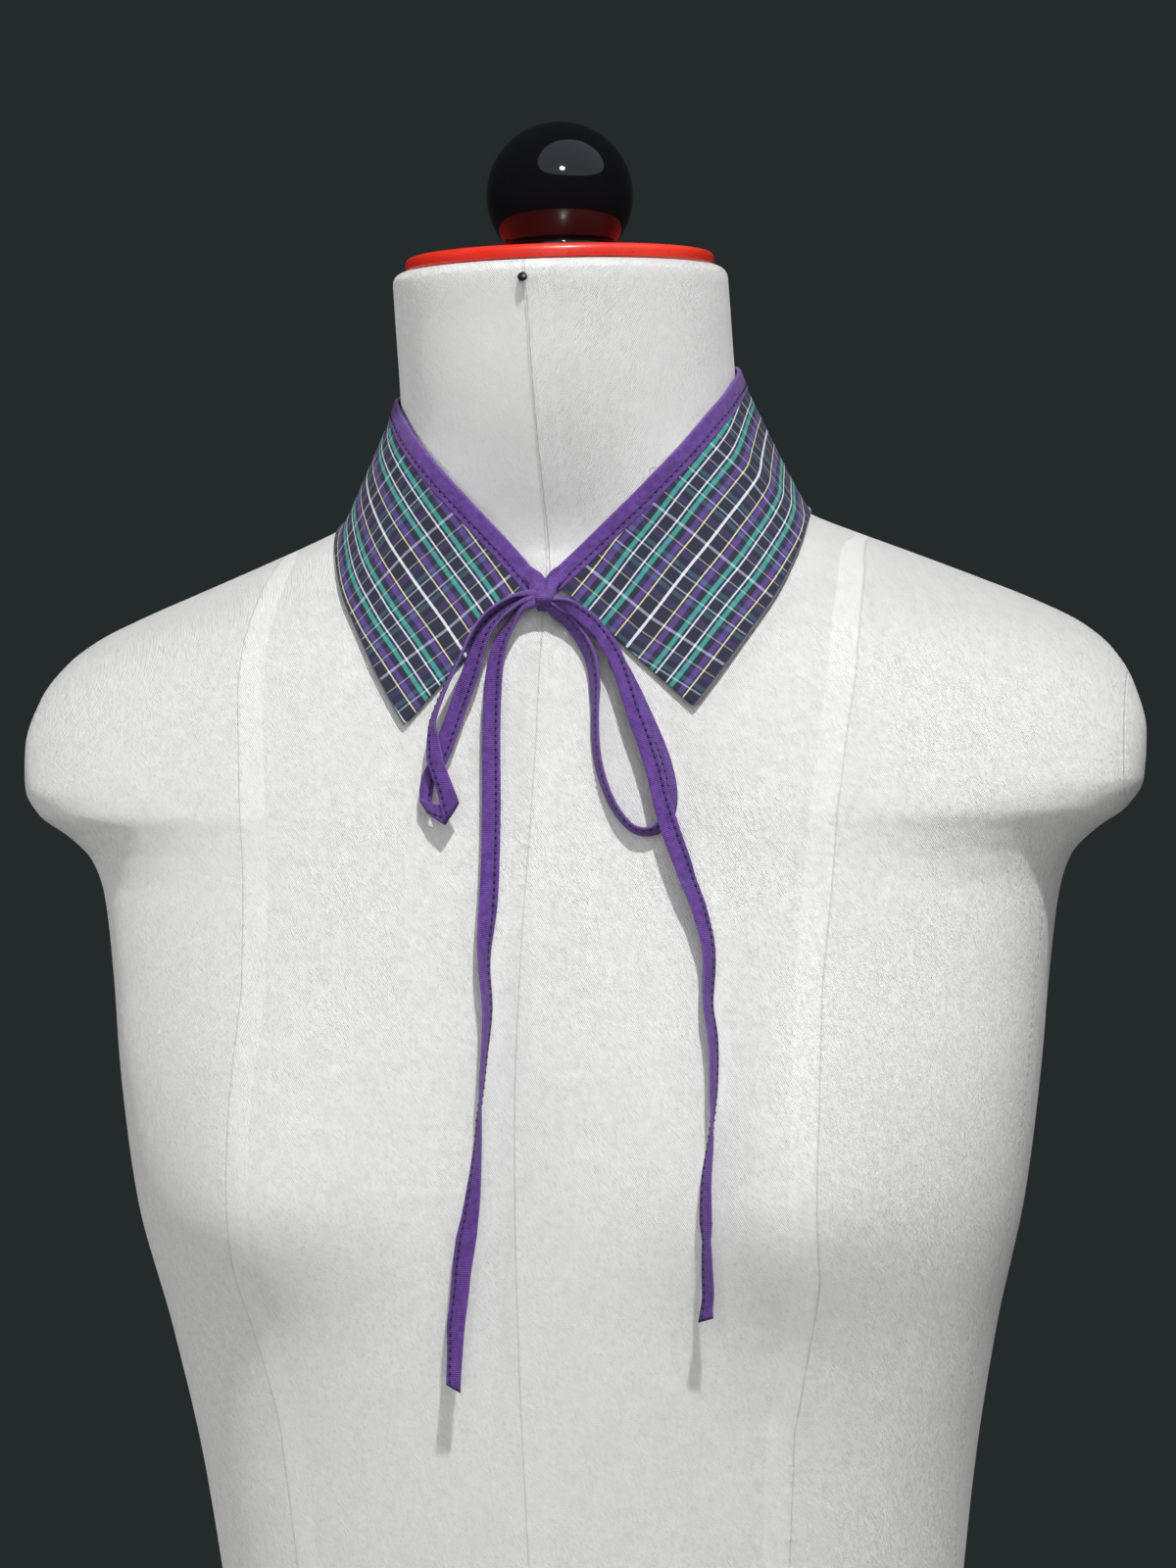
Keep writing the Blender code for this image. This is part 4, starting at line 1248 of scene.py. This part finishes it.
def build_cover():
    rings, runs = [], []
    for z, inset in cover_levels():
        ring = np.roll(form_ring(z, COVER_COLUMNS, inset), -3 * COVER_COLUMNS // 4, axis=0)
        rings.append(ring)
        runs.append(run_along(np.vstack([ring, ring[:1]])))
    rings, runs = np.array(rings), np.array(runs)
    points = rings.reshape(-1, 3)
    faces = ring_faces(len(rings), COVER_COLUMNS, False, False)
    level, spot = np.divmod(np.arange(len(faces)), COVER_COLUMNS)
    at_level = np.stack([level, level, level + 1, level + 1], axis=1).ravel()
    at_column = np.stack([spot, spot + 1, spot + 1, spot], axis=1).ravel()
    quads = np.array(faces)
    x, _, z = points[quads.ravel()].T
    layers = cover_layers(rings, runs, at_level, at_column, x, z)
    # how much painted shade darkens each corner of the cover
    layers["painted_shade_facing_up"] = facing_up(points, quads)
    faces.append(tuple(range(COVER_COLUMNS))[::-1])
    faces.append(tuple(len(points) - COVER_COLUMNS + i for i in range(COVER_COLUMNS)))
    for key in layers:
        layers[key] = np.r_[layers[key], np.full(2 * COVER_COLUMNS, NO_SEAM)]
    cover = put("form_cover", points, faces, COVER, layers, "CORNER")
    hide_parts("form_torso")


def turned_piece(name, profile, steps, place, tilt, look):
    """A round piece from a profile of radii and heights, tilted forward and set in place."""
    rings = []
    turn = np.linspace(0.0, 2 * math.pi, steps, endpoint=False)
    c, s = math.cos(tilt), math.sin(tilt)
    for r, h in profile:
        x, y, z = r * np.cos(turn), r * np.sin(turn), np.full(steps, h)
        ring = np.stack([x, y * c - z * s, y * s + z * c], axis=1)
        rings.append(ring + np.array(place))
    faces = ring_faces(len(rings), steps)
    return put(name, np.concatenate(rings), faces, look)


def build_cap(place, tilt):
    r, h = CAP_RADIUS, CAP_THICK
    profile = [(r - 1.0, 0.0), (r - 0.25, 0.2), (r, 0.8)]
    for a in np.linspace(0.0, math.pi / 2, 8):
        profile.append((r - CAP_ROUND * (1 - math.cos(a)), h - CAP_ROUND * (1 - math.sin(a))))
    profile += [(r - 6.0, h), (KNOB_FOOT_RADIUS + 4.0, h), (KNOB_FOOT_RADIUS - 2.0, h)]
    cap = turned_piece("neck_cap_lacquer", profile, 160, place, tilt, CAP)
    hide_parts("neck_cap")


def build_knob(place, tilt):
    r = KNOB_FOOT_RADIUS
    profile = [(r - 0.6, 0.0), (r, 0.5), (r, KNOB_FOOT - 0.9)]
    start = math.asin((KNOB_FOOT - KNOB_MID) / KNOB_RADIUS)
    for a in np.linspace(start, math.pi / 2, KNOB_LEVELS, endpoint=False):
        profile.append((KNOB_RADIUS * math.cos(a), KNOB_MID + KNOB_RADIUS * math.sin(a)))
    knob = turned_piece("neck_knob_lacquer", profile, 96, place, tilt, KNOB)
    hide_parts("neck_knob")


def build_pin():
    y = float(chest_y(np.array([PIN_X]), np.array([PIN_Z]))[0])
    profile = [(PIN_RADIUS * math.cos(a), 0.25 + PIN_RADIUS * 0.4875 * (1 + math.sin(a)))
               for a in np.linspace(-math.pi / 2 + 0.2, math.pi / 2 - 0.12, 10)]
    pin = turned_piece("neck_pin_head", profile, 24, (PIN_X, y - 4 * SEAT, PIN_Z), PIN_TURN, PIN)
    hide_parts("neck_pin")


def build_hardware():
    _, mid, front, back, _ = [float(v) for v in form_level(NECK_TOP)]
    centre_y = 0.5 * (front + back)
    tilt = math.atan(NECK_TILT)
    base = NECK_TOP + NECK_TILT * (centre_y - mid) + SEAT
    build_cap((0.0, centre_y, base), tilt)
    build_knob((0.0, centre_y + KNOB_BACK, base + CAP_THICK + SEAT + KNOB_BACK * NECK_TILT), tilt)
    build_pin()


build_cover()
build_hardware()

# ---------------------------------------------------------------- the collar
FINE_COLUMNS = 256
FINE_ROWS = 26
HALF_CUT = 220.0          # flat cut, point to centre back along the outer edge
CUT_SLANT = 12.1          # the front edge ends this much nearer the back at the neck
# Flat width of the collar from its outer edge to the bound neck edge.
CUT_WIDTH = (
    ("along", "left", "right"),
    (12.1, 67.2, 67.0),
    (40, 64.8, 63.9),
    (70, 60.9, 60.2),
    (94, 57.8, 57.6),
    (112, 54.6, 52.0),
    (135, 53.0, 49.5),
    (220, 51.0, 51.0),
)
# Where the check lies on the worn collar. Out from the outer edge, the shift of the lines
# that run along the collar; and along from the point, the shift of the lines that cross it.
LINES = ("along", "edge", "middle", "neck")
LINES_LEFT = (
    LINES,
    (0, 0.6, 0.9, 1.1),
    (20, 0.6, 0.08, 0.05),
    (40, 1, -0.34, -0.9),
    (60, 2.3, 0.4, -0.8),
    (80, 3.4, 2.4, 0.2),
    (88, 3, 3.2, 1.1),
    (100, 0.1, 1.0, 2.6),
    (116, -1.6, -0.9, 2.2),
    (150, 1, 1, 1),
    (230, 2, 2, 2),
)
LINES_RIGHT = (
    LINES,
    (0, -0.7, -0.6, -0.2),
    (20, 0.8, 0.1, 0.25),
    (40, 3.2, 1.6, 0.8),
    (60, 3.8, 2.65, 1.2),
    (80, 3, 3.4, 2.2),
    (100, 2.5, 3.7, 3.7),
    (230, 2, 2, 2),
)
CROSS_LEFT = (
    LINES,
    (0, 13.4, 13, 9.1),
    (18, 13.9, 12.4, 8.7),
    (38, 14.8, 11.7, 7.9),
    (54, 15.5, 10.7, 7.4),
    (68, 17.1, 10.0, 7.0),
    (82, 18.9, 9.7, 6.6),
    (112, 19.6, 10.4, 9.4),
    (230, 19.6, 10.4, 9.4),
)
CROSS_RIGHT = (
    LINES,
    (0, 13.2, 13.6, 11.7),
    (18, 13.3, 13.6, 11.75),
    (48, 16.2, 13.05, 12.45),
    (78, 18.9, 14.6, 12.8),
    (110, 21, 15.8, 13),
    (230, 21, 15.8, 13),
)
LINE_AT = (5.0, 31.0, 53.0)   # distances from the outer edge that the columns stand for


def shift_at(table, along, out):
    """Read one of the tables above at any place on the flat cut."""
    knots = column(table, "along")
    three = [monotone(knots, column(table, name), along) for name in LINES[1:]]
    low, mid, high = LINE_AT
    f = np.clip((out - low) / (mid - low), -0.2, 1.0)
    g = np.clip((out - mid) / (high - mid), 0.0, 1.3)
    near = three[0] * (1 - f) + three[1] * f
    return near + (three[2] - three[1]) * g


CLOTH_WALL = 0.85         # what the two layers really measure
BOUND_WALL = 1.3          # and the bound edge
CLOSER = 0.42             # the thin cloth lies this much nearer the form
FALL_TUCK = 4.6           # the fall starts this far down, inside the binding
PULLED = 1.15             # the left front edge is drawn back by this many stations at most
PULL_DOWN = 38.0          # fading down to this distance below the binding
PULL_BACK = 25.0          # and back to this station
CORNER_ROUND = 0.14       # how far the sharp points of the collar are pulled in


def fine_grid(drops):
    """The collar's middle surface; a drop of 0 is the neck edge and 1 the outer edge."""
    neck, outer = both_sides(neck_edge, FINE_COLUMNS), both_sides(outer_edge, FINE_COLUMNS)
    rows = []
    for drop in drops:
        line = neck * (1 - drop) + outer * drop
        out = unit(line * np.array([1.0, 1.0, 0.0]) + np.array([0.0, COLLAR_BACK, 0.0]))
        line = line + out * (COLLAR_SWELL * 4 * drop * (1 - drop))
        rows.append(clear_of_form(line, COLLAR_CLEAR))
    return np.stack(rows), np.linalg.norm(outer - neck, axis=1)


FINE_DROPS = np.linspace(0.0, 1.0, 49)
SURFACE, FALL_WIDTH = fine_grid(FINE_DROPS)
STATIONS = np.arange(FINE_COLUMNS + 1, dtype=float)


def surface_at(drop, station):
    """The collar's middle surface at a drop and a station, both running smoothly."""
    place = np.clip(np.asarray(drop) * (len(FINE_DROPS) - 1), 0, len(FINE_DROPS) - 1.000001)
    row = place.astype(int)
    f = (place - row)[..., None]
    spot = np.clip(np.asarray(station, dtype=float), 0, SURFACE.shape[1] - 1.000001)
    col = spot.astype(int)
    g = (spot - col)[..., None]
    low = SURFACE[row, col] * (1 - g) + SURFACE[row, col + 1] * g
    high = SURFACE[row + 1, col] * (1 - g) + SURFACE[row + 1, col + 1] * g
    return low * (1 - f) + high * f


def grid_normals(grid):
    """Directions out of the collar's surface, away from the neck."""
    away = unit(np.cross(np.gradient(grid, axis=1), np.gradient(grid, axis=0)))
    flat = (grid + np.array([0.0, COLLAR_BACK, 0.0])) * np.array([1.0, 1.0, 0.0])
    return away * np.sign((away * flat).sum(axis=-1).mean())


RIM_TURNS = (55.0, 20.0, -20.0, -55.0)   # directions round a folded edge, from face to face


def rim_order(rows, cols):
    """Row and column of each point round the border of a grid."""
    order = [(0, c) for c in range(cols)] + [(r, cols - 1) for r in range(1, rows)]
    order += [(rows - 1, c) for c in range(cols - 2, -1, -1)]
    order += [(r, 0) for r in range(rows - 2, 0, -1)]
    return np.array(order)


def shell(name, grid, wall, look, layers, roll=0.5):
    """A sheet with folded, rounded edges all round."""
    rows, cols = grid.shape[:2]
    away = grid_normals(grid)
    at_row, at_col = rim_order(rows, cols).T
    rim_at, rim_away = grid[at_row, at_col], away[at_row, at_col]
    inward = grid[np.clip(at_row, 1, rows - 2), np.clip(at_col, 1, cols - 2)] - rim_at
    inward = unit(inward - rim_away * (inward * rim_away).sum(axis=1)[:, None])
    points = [(grid + away * wall / 2).reshape(-1, 3), (grid - away * wall / 2).reshape(-1, 3)]
    for a in np.radians(RIM_TURNS):
        ahead, aside = wall / 2 * math.cos(a) * roll, wall / 2 * math.sin(a)
        points.append(rim_at - inward * ahead + rim_away * aside)
    points = np.concatenate(points)
    n, count = rows * cols, len(at_row)
    faces = []
    for r in range(rows - 1):
        for c in range(cols - 1):
            a = r * cols + c
            faces.append((a, a + 1, a + cols + 1, a + cols))
            faces.append((n + a, n + a + cols, n + a + cols + 1, n + a + 1))
    top = at_row * cols + at_col
    rims = [2 * n + k * count + np.arange(count) for k in range(len(RIM_TURNS))]
    loops = [top] + rims + [n + top]
    for one, two in zip(loops[:-1], loops[1:]):
        for i in range(count):
            j = (i + 1) % count
            faces.append((int(one[i]), int(two[i]), int(two[j]), int(one[j])))
    whole = {}
    for key, values in layers.items():
        flat, rim = values.reshape(-1), values[at_row, at_col]
        whole[key] = np.concatenate([flat, flat] + [rim] * len(RIM_TURNS))
    # turn every face so that it looks away from the cloth's middle
    first = faces[0]
    normal = np.cross(points[first[1]] - points[first[0]], points[first[3]] - points[first[0]])
    if float(normal @ away[0, 0]) < 0:
        faces = [f[::-1] for f in faces]
    return put(name, points, faces, look, whole)


def flat_places(drop, station):
    """Flat-cut coordinates of the grid: along from the nearer point, and out from the edge."""
    spot = 1.0 - 2.0 * station / FINE_COLUMNS
    share, left = np.abs(spot), spot >= 0       # 1 at the points, 0 at centre back
    outer_along = HALF_CUT * (1 - share)
    neck_along = CUT_SLANT + (HALF_CUT - CUT_SLANT) * (1 - share)
    knots = column(CUT_WIDTH, "along")
    widths = [monotone(knots, column(CUT_WIDTH, name), neck_along) for name in ("left", "right")]
    along = neck_along * (1 - drop) + outer_along * drop
    return along, np.where(left, *widths) * (1 - drop), left


def build_fall():
    tuck = FALL_TUCK / FALL_WIDTH
    drops = tuck + (1 - tuck) * np.linspace(0.0, 1.0, FINE_ROWS)[:, None]
    # the front edge on the wearer's left is drawn back a little where it meets the binding
    pulled = PULLED * np.clip(1.0 - (drops * FALL_WIDTH - FALL_TUCK) / PULL_DOWN, 0.0, 1.0)
    station = STATIONS + pulled * np.clip(1.0 - STATIONS / PULL_BACK, 0.0, 1.0)
    grid = surface_at(drops, station)
    along, out, left = flat_places(drops, station)
    lines = np.where(left, shift_at(LINES_LEFT, along, out), shift_at(LINES_RIGHT, along, out))
    cross = np.where(left, shift_at(CROSS_LEFT, along, out), shift_at(CROSS_RIGHT, along, out))
    layers = {"cut_along": along + cross, "cut_out": out + lines, "edge": out}
    grid = grid - grid_normals(grid) * CLOSER
    for corner, inner in ((0, 1), (-1, -2)):
        beside = grid[-2, corner] + grid[-1, inner]
        grid[-1, corner] = grid[-1, corner] * (1 - 2 * CORNER_ROUND) + beside * CORNER_ROUND
    fall = shell("collar_fall_check", grid, CLOTH_WALL, CHECK, layers)
    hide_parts("collar_fall")
    return fall


# The binding's section: the distance below the neck edge, and how far its face stands out
# from the collar's middle surface, with the dip of its row of stitches.
BINDING_FACE = (
    ("down", "out"),
    (0.0, -0.48), (0.25, -0.3), (0.8, -0.18), (1.8, -0.15), (3.0, -0.17), (4.1, -0.24),
    (4.9, -0.32), (5.5, -0.22), (5.95, -0.28),
)
BINDING_SEAM = 4.55       # the stitches run this far below the neck edge
BINDING_DIP = 0.34        # and this far below the top of the binding's wall
SEAM_ROW = 6              # the row of the section nearest to them


def build_binding():
    down = column(BINDING_FACE, "down")[:, None]
    grid = surface_at(down / FALL_WIDTH, np.tile(STATIONS, (len(down), 1)))
    away = grid_normals(grid)
    grid = grid + away * column(BINDING_FACE, "out")[:, None, None]
    layers = {
        "tape_along": np.tile(run_along(SURFACE[0]), (len(down), 1)),
        "tape_across": np.tile(HALF_TAPE - down, (1, len(STATIONS))),
    }
    binding = shell("neck_binding_tape", grid, BOUND_WALL, TAPE, layers, roll=0.8)
    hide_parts("neck_binding")
    seam = surface_at(BINDING_SEAM / FALL_WIDTH, STATIONS)
    seam = seam + away[SEAM_ROW] * (BOUND_WALL / 2 - BINDING_DIP)
    stitches = put("binding_stitches", *stitch_row(seam, away[SEAM_ROW]), THREAD)
    return [binding, stitches]


def build_collar():
    fall = build_fall()
    bound = build_binding()


build_collar()


# ---------------------------------------------------------------- throat and knot
# The two ends of the binding gathered into the knot: x from the knot's middle, height
# above it, distance off the chest, half width and half thickness.
STRAP = ("x", "up", "off", "half", "thick")
THROAT_LEFT_HAND = (
    STRAP,
    (-1.8, 1.3, 7.6, 1.9, 1.2),
    (-2.7, 2.6, 7.0, 2.3, 1.1),
    (-3.4, 4.1, 6.0, 2.7, 1.0),
    (-4.2, 5.8, 5.0, 3.0, 0.9),
    (-5.4, 6.9, 4.4, 2.9, 0.8),
    (-7.0, 8.2, 3.9, 2.6, 0.7),
    (-8.9, 9.8, 2.4, 2.2, 0.6),
)
THROAT_RIGHT_HAND = (
    STRAP,
    (1.1, 1.3, 7.2, 1.5, 1.1),
    (1.1, 2.7, 6.6, 1.7, 1.0),
    (1.1, 4.5, 5.6, 2.1, 0.9),
    (1.4, 6.2, 4.8, 2.6, 0.85),
    (2.4, 7.5, 4.3, 2.7, 0.8),
    (3.9, 8.8, 3.8, 2.5, 0.7),
    (5.5, 10.2, 2.4, 2.1, 0.6),
)
# Section of the wrap: ahead of the knot's middle, and above it.
KNOT_WRAP = (
    ("ahead", "up"),
    (-2.6, 1.2), (-1.2, 2.5), (1.0, 2.6), (3.3, 1.4), (4.1, 0.2), (3.8, -0.8),
    (2.2, -2.1), (0.6, -3.2), (-1.0, -3.9), (-2.4, -3.0), (-3.0, -0.8),
)


STRAP_STEPS = 26
STRAP_POINTS = 18
STRAP_POWER = 0.75        # a squarish oval
PLEAT = 0.25              # depth of the pleats in the gathered ends


def oval(half_wide, half_thick):
    """The section of a strap: places across and out of its middle."""
    turn = np.linspace(0.0, 2 * math.pi, STRAP_POINTS, endpoint=False)
    c, s = np.cos(turn), np.sin(turn)
    return (np.sign(c) * np.abs(c) ** STRAP_POWER * half_wide,
            np.sign(s) * np.abs(s) ** STRAP_POWER * half_thick)


def strap(name, table):
    """A gathered strap through the rows of a table."""
    line = on_chest(KNOT_X + column(table, "x"), KNOT_Z + column(table, "up"), column(table, "off"))
    line, _ = smooth_curve(np.hstack([line, columns(table, "half", "thick")]), STRAP_STEPS)
    _, _, wide, thick = route_frame(np.c_[line[:, :3], np.zeros(STRAP_STEPS)])
    rings = []
    for i in range(STRAP_STEPS):
        a, b = oval(line[i, 3], line[i, 4])
        pleat = PLEAT * np.cos(a / line[i, 3] * math.pi * 2.2 + 0.6) * (1 - i / STRAP_STEPS)
        b = b + pleat * np.sign(b)
        rings.append(line[i, :3] + wide[i] * a[:, None] + thick[i] * b[:, None])
    layers = {
        "tape_along": np.repeat(np.arange(STRAP_STEPS) * 0.35, STRAP_POINTS),
        "tape_across": np.tile(oval(2.4, 0.5)[0], STRAP_STEPS),
    }
    return put(name, np.concatenate(rings), ring_faces(STRAP_STEPS, STRAP_POINTS), TAPE, layers)


KNOT_STEPS = 34
KNOT_REACH = (3.2, 3.0)   # from the knot's middle to its two sides


def wrap_section():
    """The wrap's closed section: the table's curve is run past its start, then cut there."""
    table = columns(KNOT_WRAP, "ahead", "up")
    closed = np.vstack([table, table[:2]])
    ring, _ = smooth_curve(np.c_[closed, np.zeros(len(closed))], 53)
    return ring[4:nearest(ring[30:], ring[4]) + 30]


def build_knot():
    for name, table in (("throat_left", THROAT_LEFT_HAND), ("throat_right", THROAT_RIGHT_HAND)):
        made = strap(name, table)
        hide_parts("bow_throat")

    middle = on_chest(np.array([KNOT_X]), np.array([KNOT_Z]), KNOT_OFF)[0]
    ring = wrap_section()
    turn = np.linspace(0.0, 2 * math.pi, len(ring), endpoint=False)
    levels = np.linspace(-1.0, 1.0, KNOT_STEPS)
    rings = []
    for level in levels:
        rolled = 0.10 * math.exp(-((abs(level) - 0.84) / 0.09) ** 2)
        size = 1 - abs(level) ** 8 * 0.40 + rolled
        pleat = 0.10 * np.cos(level * 11.0 + 1.2 * np.sin(turn)) + 0.07 * np.sin(3 * turn + 5 * level)
        ahead, up = [ring[:, axis] * size + pleat for axis in (0, 1)]
        if level > 0:
            up = np.where(up < 0, up * (1 - 0.30 * level ** 2), up)
        x = level * (KNOT_REACH[0] if level < 0 else KNOT_REACH[1]) + 0.25 * np.sin(turn)
        rings.append(middle + np.stack([x, -ahead, up], axis=1))
    layers = {
        "tape_along": np.tile(turn * 3.0, KNOT_STEPS),
        "tape_across": np.repeat(levels * 2.3 + 0.4, len(ring)),
    }
    faces = ring_faces(KNOT_STEPS, len(ring))
    knot = put("bow_knot_wrap", np.concatenate(rings), faces, TAPE, layers)
    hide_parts("bow_knot")


build_knot()


# ---------------------------------------------------------------- floor, air and light
def stage_floor():
    bpy.ops.mesh.primitive_circle_add(
        vertices=96, radius=0.5, fill_type="NGON", location=(0.0, 0.0, -0.001))
    floor = bpy.context.object
    floor.name = "floor"
    k = Look("floor_paper", roughness=0.9)
    tone = k.noise(k.place(), 3.0, 2.0)
    k.colour(k.mix(tone, (0.56, 0.56, 0.55, 1), (0.60, 0.60, 0.59, 1)))
    k.bump(k.noise(k.place(), 400.0, 2.0), 0.0002)
    floor.data.materials.append(k.mat)


LAMPS_AIM = (0.0, 0.0, 0.5)


def lamp(name, toward, far, size, power):
    """A round soft light that shines on the middle of the form and isn't mirrored in it."""
    data = bpy.data.lights.new(name, "AREA")
    data.shape = "DISK"
    data.size = size
    data.energy = power
    made = bpy.data.objects.new(name, data)
    bpy.context.scene.collection.objects.link(made)
    toward = Vector(toward).normalized()
    made.location = Vector(LAMPS_AIM) + toward * far
    made.rotation_euler = toward.to_track_quat("Z", "Y").to_euler()
    made.visible_camera = False
    made.visible_glossy = False
    return made


def mirrored_lamp(name, toward, far, size, power, tall, colour):
    """An oval light that is only seen mirrored in what is glossy."""
    made = lamp(name, toward, far, size, power)
    made.data.shape = "ELLIPSE"
    made.data.size_y = tall
    made.data.color = colour
    made.visible_glossy = True
    made.visible_diffuse = False


def build_light():
    scene = bpy.context.scene
    scene.view_settings.view_transform = "Standard"
    world = bpy.data.worlds.new("air")
    world.use_nodes = True
    back = world.node_tree.nodes["Background"]
    back.inputs["Color"].default_value = lin(37, 42, 42)
    back.inputs["Strength"].default_value = 1.0
    scene.world = world
    lamp("key", (0.26, -0.51, 0.82), 3.0, 0.12, 90.0)
    lamp("fill_left", (-1.0, -0.35, 0.35), 3.0, 1.6, 34.0)
    lamp("fill_right", (0.9, -0.8, 0.35), 3.2, 1.8, 14.0)
    lamp("fill_front", (0.1, -1.0, 0.2), 2.2, 2.4, 19.0)
    lamp("fill_back", (0.4, 1.0, 0.5), 3.2, 1.8, 16.0)
    mirrored_lamp("window", (0.352, -0.45, 0.82), 2.6, 5.0, 37.0, 3.0, (0.78, 0.88, 1.0))
    mirrored_lamp("spark", (0.248, -0.77, 0.59), 3.0, 0.30, 80.0, 0.24, (1.0, 1.0, 1.0))


stage_floor()
build_light()
